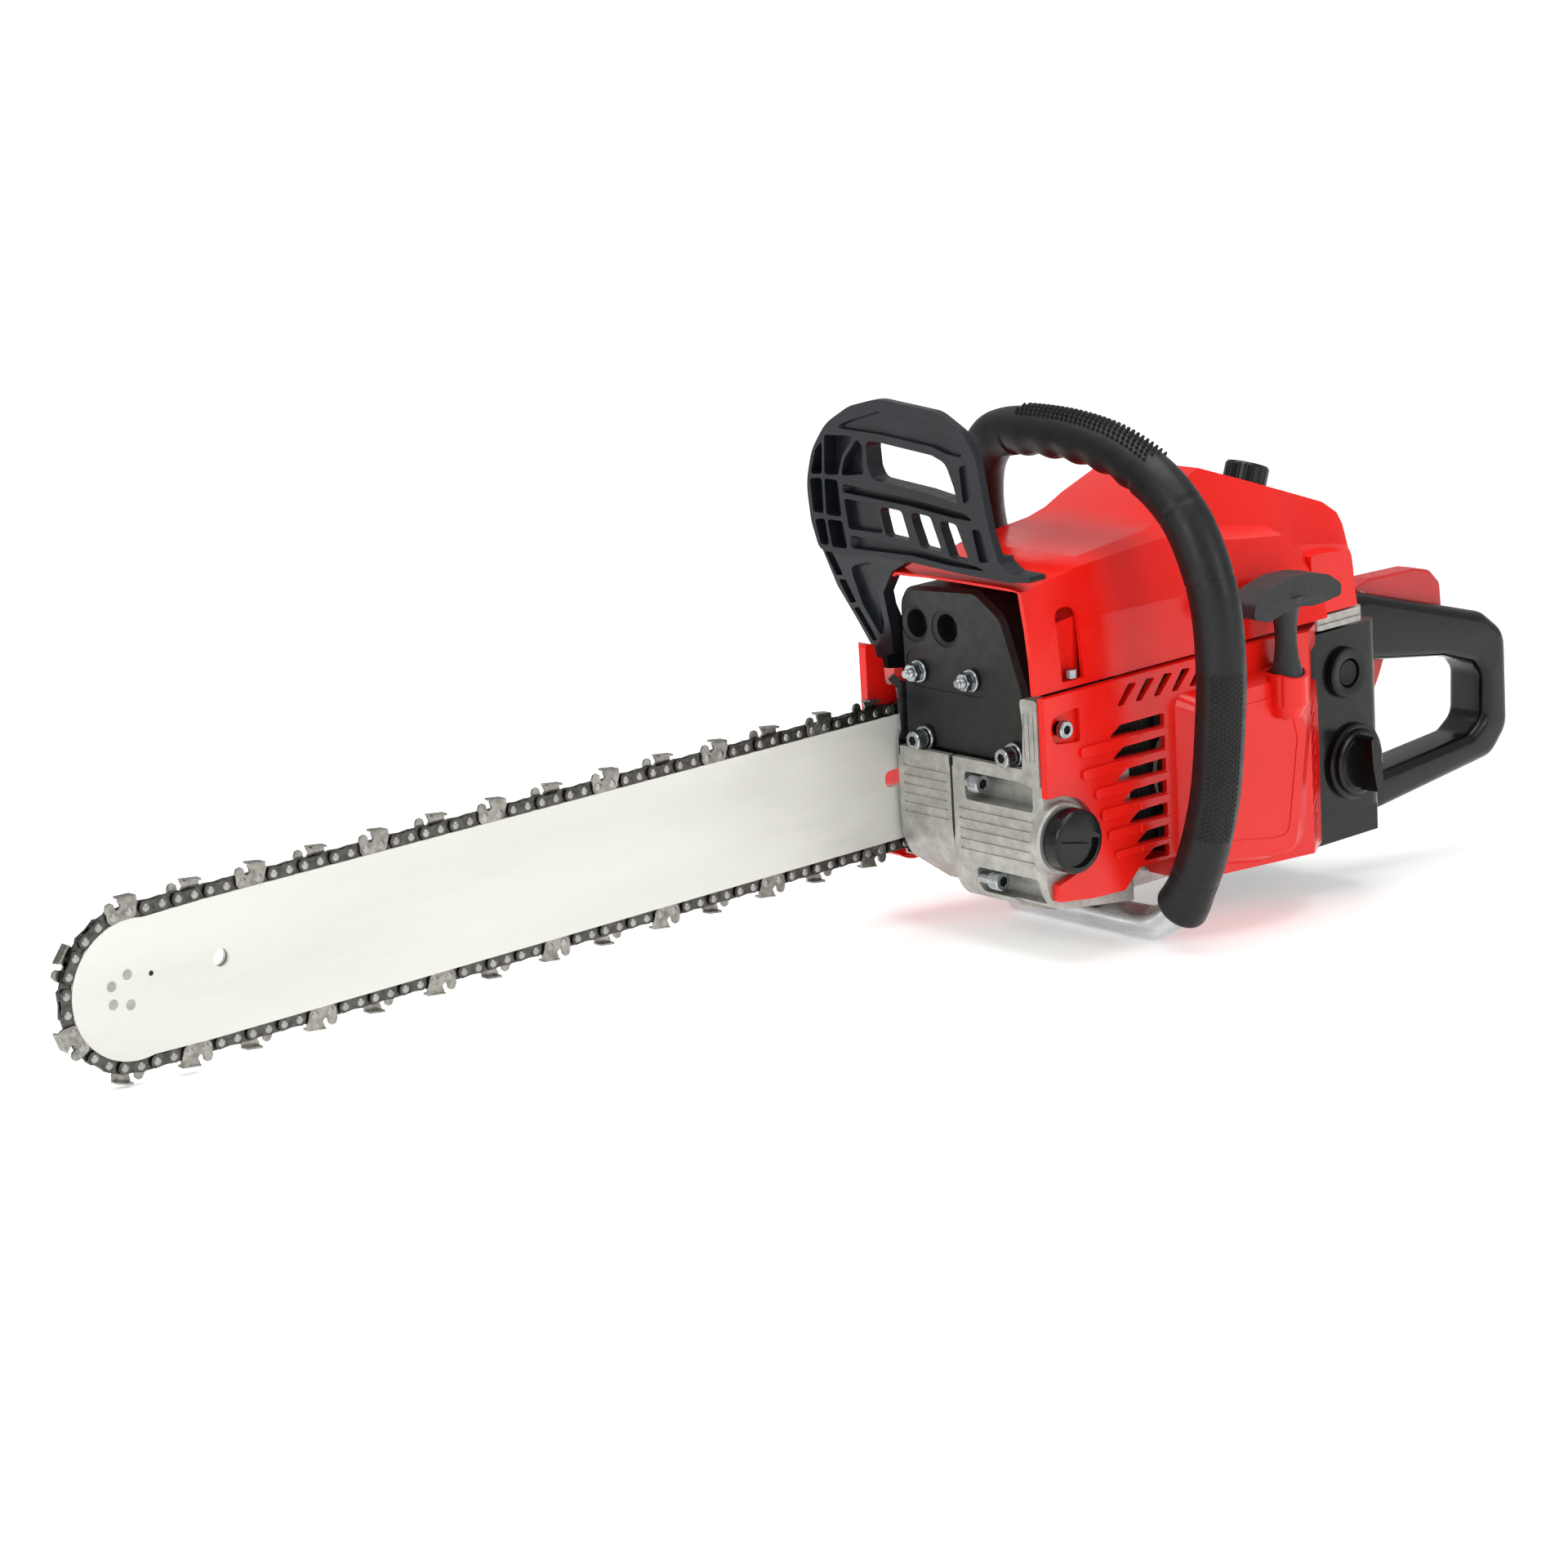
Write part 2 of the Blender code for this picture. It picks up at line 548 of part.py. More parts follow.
def starter_cover():
    outline = [(-1, 53.5), (-1, 5), (8, 5), *arc((9, -16), 20, 80, -80, 6), (4, -38), (4, -46),
               (48, -50), (58, -41), (90, -41), (94, -56), (205, -63), (205, 50), (150, 53.5)]
    bulge = rounded([(90, 36), (89.5, -46), (140, -54), (182, -54), (182, 37)], 6)
    cover = plate("starter_cover", "XZ", outline, -108.5, -79, RED)
    join(cover, plate("starter_bulge", "XZ", bulge, -118, -108, helper=True))
    seat = rod("rope_guide", "Z", (155, -119, 18), 20.4, 10.5, helper=True)
    join(cover, seat)
    cut_box(cover, (-10, -104.3, -70), (60.3, -60, 60))
    inner = [(60, 50.5), (60, -38.5), (93, -38.5), (97, -53), (184, -59), (184, 48), (150, 50.5)]
    cut(cover, plate("starter_inside", "XZ", inner, -106, -70, helper=True))
    hollow = [(93, 33), (92.5, -43), (140, -51), (171, -51), (171, 33)]
    cut(cover, plate("bulge_inside", "XZ", hollow, -115.5, -105, helper=True))
    rear_corner = [(190.5, -109.2), (206, -92.5), (220, -92.5), (220, -125), (190.5, -125)]
    cut(cover, plate("rear_corner", "XY", rear_corner, -70, 60, helper=True))
    post = rod("reel_post", "Y", (CRANK_X, -118, 0), 19.5, 4.0, helper=True, sides=12)
    join(cover, post)
    slots = 5
    for k in range(slots):
        z = 27 - 12.0 * k
        cut_box(cover, (31 + max(0, k - 2) * 9, -112, z), (76, -102, z + 7.5))
    for k in range(3):
        x = 64 + 17 * k
        cut_box(cover, (x, -112, 42), (x + 11, -104, 48.5))
    cut_rod(cover, "Z", (155, -119, 15), 30, 2.5, 12)
    cut_rod(cover, "Z", (155, -119, 33), 12, 9.2)
    cut_rod(cover, "Y", (10, -112, 37), 20, 3.0, 12)


def starter():
    """Rope reel with its rewind spring on the cover's post, and the pull handle."""
    ring("rewind_spring", "Y", (CRANK_X, -105.4, 0), 15.5, 5.5, 3.4, MACHINED)
    reel = [(26, 7.5), (26, 6.3), (19, 6.3), (19, 1.2), (26, 1.2), (26, 0), (16, 0), (16, 4), (4.4, 4),
            (4.4, 7.5)]
    turned("rope_reel", "Y", (CRANK_X, -105.7, 0), reel, BLACK)
    ring("starter_rope", "Y", (CRANK_X, -104.2, 0), 24.5, 19.3, 4.5, ROPE)
    grip = rounded([(124, 68), (126, 78), (150, 87), (178, 84), (187.5, 77), (187, 70), (166, 69), (146, 69)],
                   4, 2)
    handle = plate("starter_handle", "XZ", grip, -127, -110.5, BLACK)
    stem = [(0, 76), (8, 76), (5.5, 56), (8.2, 38), (8, 33.4), (0, 33.4)]
    join(handle, turned("handle_stem", "Z", (155, -119, 0), stem, None, 16, True))


# ---------------------------------------------------------------- muffler and fasteners
def muffler():
    outline = rounded([(-5.6, 16), (-8.5, 60), (-6, 90), (-72, 92), (-79, 74), (-88, 15.5)],
                      [2, 8, 8, 8, 10, 2])
    shell = plate("muffler", "YZ", outline, 6, 59, MUFFLER_PAINT)
    for y in (-13, -36):
        cut_rod(shell, "X", (0, y - 1, 77), 9, 7.5, 16)
    cut_box(shell, (14, -76, 22), (52, -14, 84))
    cut_rod(shell, "X", (50, ENGINE_Y, 62), 20, 9, 16)
    for label, y in (("left", -17), ("right", -53)):
        nut = rod(f"muffler_nut_{label}", "X", (-1.0, y, 54), 6.7, 5.0, ZINC, sides=6)
        join(nut, rod("stud_tip", "X", (-4.5, y, 54), 8, 2.5, helper=True, sides=12))
    for label, y in (("left", -15.5), ("right", -79)):
        socket_bolt(f"muffler_bolt_{label}", "X", (-3, y, 21), 8.7)


def socket_bolt(name, axis, start, length):
    """A hexagon socket head: start is its outer face and the axis runs into the work."""
    head = rod(name, axis, start, length, 4.4, ZINC, sides=16)
    outside = Vector(start) - 2 * (TURNS[axis].to_3x3() @ Vector((0, 0, 1)))
    return cut_rod(head, axis, outside, 5, 2.2, 6)


def fasteners():
    socket_bolt("crankcase_bolt_upper", "Y", (6, -66, 4), 15.5)
    socket_bolt("crankcase_bolt_lower", "Y", (7, -75, -43), 17.5)
    socket_bolt("starter_cover_screw", "Y", (10, -112, 37), 3.2)
    rod("cylinder_cover_screw", "Z", (23.5, -102.5, 58.4), 4, 2.6, ZINC, sides=12)


# ---------------------------------------------------------------- clutch side
def clutch_cover():
    outline = rounded([(-10, 24), (-9, 58), (2, 60), (3, 44), (60, 44), (112, 40), (130, 30), (151, 10),
                       (152, -26), (120, -44), (10, -46), (-12, -20)],
                      [6, 3, 3, 2, 0, 8, 6, 8, 20, 12, 20, 12], 2)
    cover = plate("clutch_cover", "XZ", outline, 5.5, 38.3, RED)
    inner = rounded([(-14, 26), (16, 41), (60, 41), (111, 37.4), (128, 28), (148, 9), (149, -25),
                     (119, -41), (10, -43), (-20, -30)], 4, 1)
    cut(cover, plate("clutch_inside", "XZ", inner, -10, 35.5, helper=True))
    pad = rounded([(12, -11), (60, -11), (60, 11), (12, 11)], 4, 1)
    lug = [(24, 43), (48, 43), (43, 58), (39, 62), (33, 62), (29, 58)]
    join(cover, plate("clamp_pad", "XZ", pad, 2.6, 36, helper=True),
         plate("pivot_lug", "XZ", lug, 16.3, 22, helper=True))
    slant = [(-30, 9.5), (-9, 9.5), (18.6, 39.5), (18.6, 45), (-30, 45)]
    cut(cover, plate("front_slant", "XY", slant, -60, 70, helper=True))
    for x in STUD_X:
        cut_rod(cover, "Y", (x, -5, 0), 60, 4.3, 16)
    cut_rod(cover, "Y", (GUARD_X, 10, GUARD_Z), 20, 3.3, 16)


def hand_guard():
    """Brake lever: a broad plate across the front of the handle, on one arm down to its pivot."""
    low = GUARD_LOW
    right_edge = [(35, low), (41, 124), (43, 142), (38, 159), (27, 173), (9, 183), (-11, 188)]
    left_edge = [(-50, 185), (-67, 177), (-77, 165), (-84, 130), (-90, 117), (-97, 113.5), (-109, 113),
                 (-110, 110), (-96, low)]
    guard = plate("hand_guard", "YZ", right_edge + left_edge, GUARD_FRONT, GUARD_FRONT + 10, BLACK)
    web = plate("guard_web", "XZ", [(GUARD_FRONT + 0.7, low + 6), (-1, low + 6.5), (12, 54), (7, 54)],
                2, 27, helper=True)
    boss = rod("guard_boss", "Y", (GUARD_X, 7.4, GUARD_Z), 8.6, 7.5, helper=True)
    arm = plate("guard_arm", "XZ", [(-2, 104), (2, 106), (18, 74), (GUARD_X + 3, 61), (GUARD_X + 5, 52),
                                    (GUARD_X - 3, 47.5), (8.5, 51.5)], 7.9, 15.5, helper=True)
    join(guard, web, arm, boss)
    windows = (
        rounded([(-1, 167), (-49, 164), (-60, 155), (-64, 142), (-3, 149)], [4, 8, 6, 3, 4]),
        [(-8.5, 136), (-24, 135.2), (-29.2, 121), (-12.5, 122)],
        [(-29.5, 135.6), (-43.8, 134.4), (-51, 118), (-36.5, 119)],
        [(-49, 133.8), (-61.2, 132.4), (-69.4, 115.2), (-56.5, 116)],
    )
    for window in windows:
        cut(guard, plate("guard_window", "YZ", window, GUARD_FRONT - 5, GUARD_FRONT + 15, helper=True))
    recess = [(16, 137.6), (-68, 134.4), (-78, 112.5), (1, 112.5)]
    cut(guard, plate("guard_recess", "YZ", recess, -1.4, GUARD_FRONT + 15, helper=True))
    cut_rod(guard, "Y", (GUARD_X, 0, GUARD_Z), 30, 3.3, 16)
    rod("guard_pin", "Y", (GUARD_X, 6.5, GUARD_Z), 15.4, 3.0, ZINC, sides=16)


# ---------------------------------------------------------------- handles and tank
def front_handle():
    """A bent tube from under the crankcase round the left side and over the top to the rear
    right, with a rubber grip moulded over most of it."""
    side = [(-92, -75), (-106, -72), (-118, -64), (-128, -48), (-137, -27), (-144.5, 0), (-149, 35),
            (-150.5, 60), (-149, 85), (-144, 104), (-133.5, 125.5), (-119, 140.5), (-103, 150),
            (-86, 156.5), (-68, 160), (-50, 161.5), (-30, 161.5), (-15, 160), (-3, 155)]
    line = [Vector((HANDLE_X, y, z)) for y, z in side]
    line += [Vector(p) for p in ((79, 10, 140), (88, 21, 116), (102, 30, 90), (120, 36, 64), (136, 39, 49))]
    under = [Vector((HANDLE_X, y, -75)) for y in (-8, -50)]
    tube("front_handle_tube", under + line + [Vector((158, 40.5, 34))], 9.0, ALUMINIUM)
    grip = tube("front_handle_grip", line[2:-1], 12.5, RUBBER, 4)
    ends = line[1:]
    cut(grip, tube("grip_bore", ends, 9.4, None, helper=True))


def rear_handle():
    outer = rounded([(258.4, 50), (281, 47.5), (372, 21), (389, 8), (390, -44), (376, -58), (286, -70),
                     (258.4, -66)], [0, 0, 14, 12, 12, 12, 6, 0], 3)
    hole = rounded([(266, 16), (340, 4), (368, -4), (372, -12), (371, -38), (360, -46), (276, -52),
                    (266, -46)], [6, 0, 8, 6, 8, 10, 8, 6], 3)
    handle = plate("rear_handle", "XZ", outer, HANDLE_Y - 16, HANDLE_Y + 16, BLACK, [hole])
    slot_low, slot_high = HANDLE_Y - 7.5, HANDLE_Y + 7.5
    cut(handle, plate("lever_slot", "XZ", [(277, 26), (352, 12), (362, 30), (362, 60), (277, 60)],
                      slot_low, slot_high, helper=True))
    cut(handle, plate("trigger_slot", "XZ", [(268, 0), (306, 0), (306, 22), (268, 34)],
                      slot_low, slot_high, helper=True))
    lever = rounded([(279, 51), (300, 53), (344, 48), (353, 41), (354, 27), (300, 35), (281, 40)],
                    [3, 0, 8, 6, 2, 0, 3])
    plate("throttle_lockout", "XZ", lever, HANDLE_Y - 6.5, HANDLE_Y + 6.5, RED_DARK)
    trigger = rounded([(271, 29), (300, 20), (301, 8), (293, -8), (286, -14), (283, -8), (284, 2), (271, 12)],
                      [2, 2, 4, 6, 3, 3, 6, 3])
    plate("throttle_trigger", "XZ", trigger, HANDLE_Y - 6.0, HANDLE_Y + 6.0, RED_DARK)


def fuel_tank():
    floor = [(206.5, -88), (258, -88), (258, 8), (170, 8), (170, -76), (206.5, -76)]
    tank = plate("fuel_tank", "XY", floor, -68, 42, BLACK)
    tongue = box("tank_tongue", (62, -62, -65.7), (175, -14, -62.3), helper=True)
    lug = box("handle_lug", (153, 2, 14), (176, 52, 23), helper=True)
    join(tank, tongue, lug)
    cut_box(tank, (176, -70, -62), (252, 2, 22))
    cut_rod(tank, "Y", (236, -95, -28), 30, 10)
    cut_box(tank, (214, -83, 30), (252, -60, 50))
    ring("mount_grommet", "Y", (231, -92, 19), 13, 7.5, 3.7, RUBBER)
    cap = rod("fuel_cap", "Y", (236, -94.5, -28), 6.2, 17, BLACK)
    wing = box("cap_wing", (-2.6, -11, -15), (2.6, 1, 15), helper=True)
    wing.location = Vector((236, -94, -28)) * MM
    wing.rotation_euler = (0, math.radians(-8), 0)
    join(cap, wing)
    oil_cap = rod("oil_cap", "Y", (9, -118.5, -16), 9.7, 15.5, BLACK)
    slot = box("cap_slot", (-13, -2, -1.7), (13, 3.5, 1.7), helper=True)
    slot.location = Vector((9, -118.5, -16)) * MM
    slot.rotation_euler = (0, math.radians(12), 0)
    cut(oil_cap, slot)
    rod("choke_knob", "X", (258.5, -8, 30), 14, 7, BLACK, sides=16)
    box("stop_switch", (258.4, -27, 34), (266, -18, 46), RED_DARK)


cutting_parts()
crankcase()
cylinder()
rotating_parts()
fuel_and_air()
cylinder_cover()
starter_cover()
starter()
muffler()
fasteners()
clutch_cover()
hand_guard()
front_handle()
rear_handle()
fuel_tank()

# Each moving piece turns or slides about its own origin, which lies on its joint axis.
CRANK_PIECES = ("crankshaft", "clutch_hub", "clutch_shoe_1", "clutch_shoe_2", "clutch_shoe_3",
                "drive_sprocket")
JOINT_ORIGINS = {
    "nose_sprocket": (NOSE_X, 0, 0),
    "starter_handle": (155, -119, 33.4),
    "hand_guard": (GUARD_X, 12, GUARD_Z),
    "throttle_trigger": (275, HANDLE_Y, 22),
    "throttle_lockout": (284, HANDLE_Y, 45),
    "choke_knob": (258.5, -8, 30),
    "stop_switch": (262, -22.5, 40),
    "oil_cap": (9, -114, -16),
    "fuel_cap": (236, -92, -28),
    **{name: (CRANK_X, 0, 0) for name in CRANK_PIECES},
}


def hang_on_axis(obj, at):
    """Moves an object's origin without moving its surface."""
    shift = Vector(at) * MM - obj.location
    obj.data.transform(Matrix.Translation(-shift))
    obj.location += shift


for piece, origin in JOINT_ORIGINS.items():
    hang_on_axis(bpy.data.objects[piece], origin)
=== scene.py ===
# %% [markdown]
# # Building a petrol chainsaw
# A chainsaw is a small engine with a bar and chain bolted to one side and two handles hung around
# it on rubber mounts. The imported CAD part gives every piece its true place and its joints; here each
# piece that shows gets the shape and the surface that a workshop would give it.

# %% Setup
import json
import math

import bmesh
import bpy
from mathutils import Matrix, Vector


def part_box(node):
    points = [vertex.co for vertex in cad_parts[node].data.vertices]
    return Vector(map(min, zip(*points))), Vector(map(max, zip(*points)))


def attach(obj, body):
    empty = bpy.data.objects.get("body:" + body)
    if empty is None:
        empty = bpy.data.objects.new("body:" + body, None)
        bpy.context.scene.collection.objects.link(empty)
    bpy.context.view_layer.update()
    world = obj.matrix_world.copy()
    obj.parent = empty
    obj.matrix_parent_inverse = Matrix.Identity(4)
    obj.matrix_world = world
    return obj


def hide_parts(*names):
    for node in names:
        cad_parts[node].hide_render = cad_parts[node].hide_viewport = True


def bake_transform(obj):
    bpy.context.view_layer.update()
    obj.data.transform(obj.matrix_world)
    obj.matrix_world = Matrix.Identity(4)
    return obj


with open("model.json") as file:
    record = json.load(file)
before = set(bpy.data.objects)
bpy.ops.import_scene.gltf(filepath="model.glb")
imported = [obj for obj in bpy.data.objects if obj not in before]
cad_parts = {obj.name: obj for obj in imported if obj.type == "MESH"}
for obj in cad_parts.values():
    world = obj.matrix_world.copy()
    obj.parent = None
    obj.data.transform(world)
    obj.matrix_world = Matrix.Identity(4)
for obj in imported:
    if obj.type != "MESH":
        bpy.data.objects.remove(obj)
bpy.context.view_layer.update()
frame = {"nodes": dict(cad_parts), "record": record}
MM = 0.001

# %% [markdown]
# All sizes are in millimetres from one datum: the front face of the crankcase, in the middle of the
# bar's thickness and height. The nose wheel's axis sits 441 mm ahead of it, so that joint ties this
# datum to the frame.

# %% Datum
NOSE_X = -441.0
joints = {joint["name"]: joint for joint in frame["record"]["behaviour"]["joints"]}
nose_axis = Vector(joints["nose_sprocket_spin"]["pos_m"])
DATUM = nose_axis - Vector((NOSE_X * MM, 0, 0))
DATUM.y = sum(corner[1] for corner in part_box("guide_bar")) / 2
CRANK_X = (joints["crankshaft_spin"]["pos_m"][0] - DATUM.x) / MM
TO_FRAME = Matrix.Translation(DATUM) @ Matrix.Scale(MM, 4)

# %% [markdown]
# Most pieces start from four plain shapes: a block, a drum, a flat outline given depth, and a turned
# profile. Each helper draws one in millimetres and returns it loose, so that others can cut it.

# %% Blocks, drums, prisms and turned shapes
AXES = {
    "X": Matrix.Rotation(math.pi / 2, 4, "Y"),
    "Y": Matrix.Rotation(-math.pi / 2, 4, "X"),
    "Z": Matrix.Identity(4),
}


def brick(low, high):
    """A block between two corners."""
    low, high = Vector(low), Vector(high)
    shape = bmesh.new()
    bmesh.ops.create_cube(shape, size=1)
    scale = Matrix.Diagonal((*(high - low), 1))
    bmesh.ops.transform(shape, matrix=Matrix.Translation((low + high) / 2) @ scale, verts=shape.verts)
    return shape


def drum(axis, start, length, radius, far_radius=None, sides=32):
    """A cylinder or cone from its start along an axis."""
    shape = bmesh.new()
    far_radius = radius if far_radius is None else far_radius
    bmesh.ops.create_cone(shape, cap_ends=True, segments=sides, radius1=radius, radius2=far_radius,
                          depth=length)
    place = Matrix.Translation(start) @ AXES[axis] @ Matrix.Translation((0, 0, length / 2))
    bmesh.ops.transform(shape, matrix=place, verts=shape.verts)
    return shape


def lift(plane, across, up, depth):
    """A point drawn in the XZ, YZ or XY plane, at a depth along the third axis."""
    return {"XZ": (across, depth, up), "YZ": (depth, across, up), "XY": (across, up, depth)}[plane]


def prism(plane, outline, low, high, far_outline=None):
    """A flat outline given depth; the far end may have its own outline, for draft."""
    shape = bmesh.new()
    near = [shape.verts.new(lift(plane, a, u, low)) for a, u in outline]
    far = [shape.verts.new(lift(plane, a, u, high)) for a, u in (far_outline or outline)]
    shape.faces.new(near)
    shape.faces.new(far)
    for i in range(len(near)):
        shape.faces.new((near[i - 1], near[i], far[i], far[i - 1]))
    bmesh.ops.recalc_face_normals(shape, faces=shape.faces)
    return shape


def lathe(axis, at, profile, sides=48):
    """A turned shape: (radius, distance along the axis) points, closed on the axis or as a ring."""
    shape = bmesh.new()
    turns = [2 * math.pi * k / sides for k in range(sides)]
    rings = []
    for radius, along in profile:
        if radius == 0:
            rings.append([shape.verts.new((0, 0, along))] * sides)
        else:
            rings.append([shape.verts.new((radius * math.cos(t), radius * math.sin(t), along))
                          for t in turns])
    pairs = list(zip(rings, rings[1:]))
    if profile[0][0] and profile[-1][0]:
        pairs.append((rings[-1], rings[0]))
    for one, two in pairs:
        for k in range(sides):
            corners = list(dict.fromkeys([one[k - 1], one[k], two[k], two[k - 1]]))
            if len(corners) > 2:
                shape.faces.new(corners)
    bmesh.ops.recalc_face_normals(shape, faces=shape.faces)
    bmesh.ops.transform(shape, matrix=Matrix.Translation(at) @ AXES[axis], verts=shape.verts)
    return shape

# %% [markdown]
# An outline is a few corners, with each corner rounded to its own radius as a mould-maker would draw
# it. Arcs and smooth curves fill in the round stretches, so no outline is a long list of points.

# %% Outlines


def rounded(corners, radius, count=4):
    """Rounds the corners of a polygon, each to its own radius if radius is a list."""
    radii = radius if isinstance(radius, (list, tuple)) else [radius] * len(corners)
    points = []
    for i, corner in enumerate(corners):
        here = Vector(corner)
        if radii[i] <= 0:
            points.append(tuple(here))
            continue
        before, after = Vector(corners[i - 1]) - here, Vector(corners[(i + 1) % len(corners)]) - here
        back = min(radii[i] / math.tan(before.angle(after) / 2), 0.49 * before.length, 0.49 * after.length)
        start, end = here + before.normalized() * back, here + after.normalized() * back
        for step in range(count + 1):
            t = step / count
            points.append(tuple((1 - t) ** 2 * start + 2 * t * (1 - t) * here + t * t * end))
    return points


def arc(centre, radius, start, end, count):
    """Points along an arc, in degrees."""
    angles = [math.radians(start + (end - start) * i / count) for i in range(count + 1)]
    return [(centre[0] + radius * math.cos(a), centre[1] + radius * math.sin(a)) for a in angles]


def smooth_line(points, per_span):
    """A smooth curve through every point (Catmull-Rom)."""
    ends = [points[0], *points, points[-1]]
    line = []
    for i in range(len(points) - 1):
        a, b, c, d = (Vector(p) for p in ends[i:i + 4])
        for step in range(per_span):
            t = step / per_span
            line.append(0.5 * (2 * b + (c - a) * t + (2 * a - 5 * b + 4 * c - d) * t * t
                               + (3 * b - a - 3 * c + d) * t ** 3))
    return [*line, Vector(points[-1])]

# %% [markdown]
# Shapes are joined and cut by booleans, then every hard edge gets a small radius. Real edges are never
# perfectly sharp, and that thin line of light along an edge is what makes a piece look solid. Each
# finished piece is then tied to the body that carries it.

# %% Joining, cutting and finishing a piece


def merge(*shapes):
    """Gathers loose shapes in one, without joining their surfaces."""
    whole = bmesh.new()
    for shape in shapes:
        scrap = bpy.data.meshes.new("scrap")
        shape.to_mesh(scrap)
        shape.free()
        whole.from_mesh(scrap)
        bpy.data.meshes.remove(scrap)
    return whole


def moved(shape, matrix):
    bmesh.ops.transform(shape, matrix=matrix, verts=shape.verts)
    return shape


def leaned(at, axis, degrees):
    """Turns a shape drawn about the origin and stands it at a point."""
    return Matrix.Translation(at) @ Matrix.Rotation(math.radians(degrees), 4, axis)


def to_object(name, shape):
    bmesh.ops.transform(shape, matrix=TO_FRAME, verts=shape.verts)
    mesh = bpy.data.meshes.new(name)
    shape.to_mesh(mesh)
    shape.free()
    made = bpy.data.objects.new(name, mesh)
    bpy.context.scene.collection.objects.link(made)
    return made


def carve(name, body, steps):
    """Adds and cuts shapes in turn, as ('+', shape) or ('-', shape), and keeps the result."""
    made = to_object(name, body)
    tools = []
    for sign, shape in steps:
        tool = to_object(name + "_tool", shape)
        tools.append(tool)
        step = made.modifiers.new("step", "BOOLEAN")
        step.operation = "UNION" if sign == "+" else "DIFFERENCE"
        step.object = tool
        step.solver = "EXACT"
    bpy.context.view_layer.update()
    mesh = bpy.data.meshes.new_from_object(made.evaluated_get(bpy.context.evaluated_depsgraph_get()))
    made.modifiers.clear()
    made.data = mesh
    mesh.name = name
    for tool in tools:
        bpy.data.objects.remove(tool)
    tidy = bmesh.new()
    tidy.from_mesh(mesh)
    bmesh.ops.remove_doubles(tidy, verts=tidy.verts, dist=0.00002)
    bmesh.ops.dissolve_degenerate(tidy, edges=tidy.edges, dist=0.00003)
    bmesh.ops.dissolve_limit(tidy, angle_limit=0.01, verts=tidy.verts, edges=tidy.edges)
    tidy.to_mesh(mesh)
    tidy.free()
    return made


def ease(made, width, segments=3, angle=30):
    """Rounds the hard edges of a piece by a width in millimetres."""
    if width:
        bevel = made.modifiers.new("eased_edges", "BEVEL")
        bevel.width = width * MM
        bevel.segments = segments
        bevel.limit_method = "ANGLE"
        bevel.angle_limit = math.radians(angle)
        bevel.harden_normals = True
    made.data.shade_smooth()
    made.data.set_sharp_from_angle(angle=math.radians(angle + 8))
    return made


made_pieces = []


def piece(made, look, body, *nodes, edge=0.0, segments=3, angle=30):
    """Finishes a piece: material, eased edges, the body it rides and the CAD nodes it stands for."""
    ease(made, edge, segments, angle)
    made.data.materials.clear()
    made.data.materials.append(look)
    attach(made, body)
    if nodes:
        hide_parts(*nodes)
    made_pieces.append(made.name)
    print(f"{made.name}: {look.name}, rides {body}")
    return made


print("datum", [round(c, 4) for c in DATUM], "crank axis at", round(CRANK_X, 2), "mm")

# %% [markdown]
# Colours are written as a maker would read them off a swatch, in sRGB, and turned to the linear
# values that light is added up in. One small function places a node and joins its sockets.

# %% Colour and nodes


def colour(swatch):
    """An sRGB swatch such as #D8200F as linear red, green, blue and alpha."""
    parts = [int(swatch[i:i + 2], 16) / 255 for i in (1, 3, 5)]
    return tuple(c / 12.92 if c <= 0.04045 else ((c + 0.055) / 1.055) ** 2.4 for c in parts) + (1.0,)


def add(tree, kind, to=None, settings=None, stops=(), **inputs):
    """Adds one node, sets its properties, colour stops and inputs, and may feed it to the shader."""
    made = tree.nodes.new("ShaderNode" + kind)
    for key, value in (settings or {}).items():
        setattr(made, key, value)
    for place, (position, swatch) in enumerate(stops):
        ramp = made.color_ramp.elements
        stop = ramp[place] if place < 2 else ramp.new(position)
        stop.position, stop.color = position, colour(swatch)
    for key, value in inputs.items():
        socket = made.inputs[key.replace("_", " ")]
        if isinstance(value, bpy.types.Node):
            value = value.outputs[0]
        if isinstance(value, bpy.types.NodeSocket):
            tree.links.new(value, socket)
        else:
            socket.default_value = value
    if to:
        tree.links.new(made.outputs[0], tree.nodes["Principled BSDF"].inputs[to])
    return made


def start(name, **shader_values):
    """A new material, its node tree, its shader and the object's own coordinates."""
    made = bpy.data.materials.new(name)
    made.use_nodes = True
    tree = made.node_tree
    shader = tree.nodes["Principled BSDF"]
    for key, value in shader_values.items():
        shader.inputs[key.replace("_", " ")].default_value = value
    place = add(tree, "TexCoord").outputs["Object"]
    print("finish:", name)
    return made, tree, shader, place


def per_mm(size):
    """The noise scale whose features are a size in millimetres across."""
    return 1000.0 / size

# %% [markdown]
# ## Finishes
# The red covers are injection-moulded ABS from a polished tool: a clear hard gloss with the very
# shallow waves that the plastic takes as it shrinks. The eye gets sharp highlights that swim a little.

# %% Moulded ABS, red
red_abs, tree, shader, place = start("moulded_abs_red", Roughness=0.2, IOR=1.53, Specular_IOR_Level=0.32)
tone = add(tree, "TexNoise", Vector=place, Scale=per_mm(60))
add(tree, "ValToRGB", "Base Color", Fac=tone, stops=((0.3, "#D9140D"), (0.7, "#E21C12")))
wear = add(tree, "TexNoise", Vector=place, Scale=per_mm(9), Detail=4.0)
add(tree, "MapRange", "Roughness", Value=wear, From_Min=0.3, From_Max=0.7, To_Min=0.16, To_Max=0.27)
shader.inputs["Subsurface Weight"].default_value = 0.04
shader.inputs["Subsurface Scale"].default_value = 0.002
grain = add(tree, "TexNoise", Vector=place, Scale=per_mm(14), Detail=1.0)
add(tree, "Bump", "Normal", Height=grain, Distance=0.05 * MM, Strength=0.5)

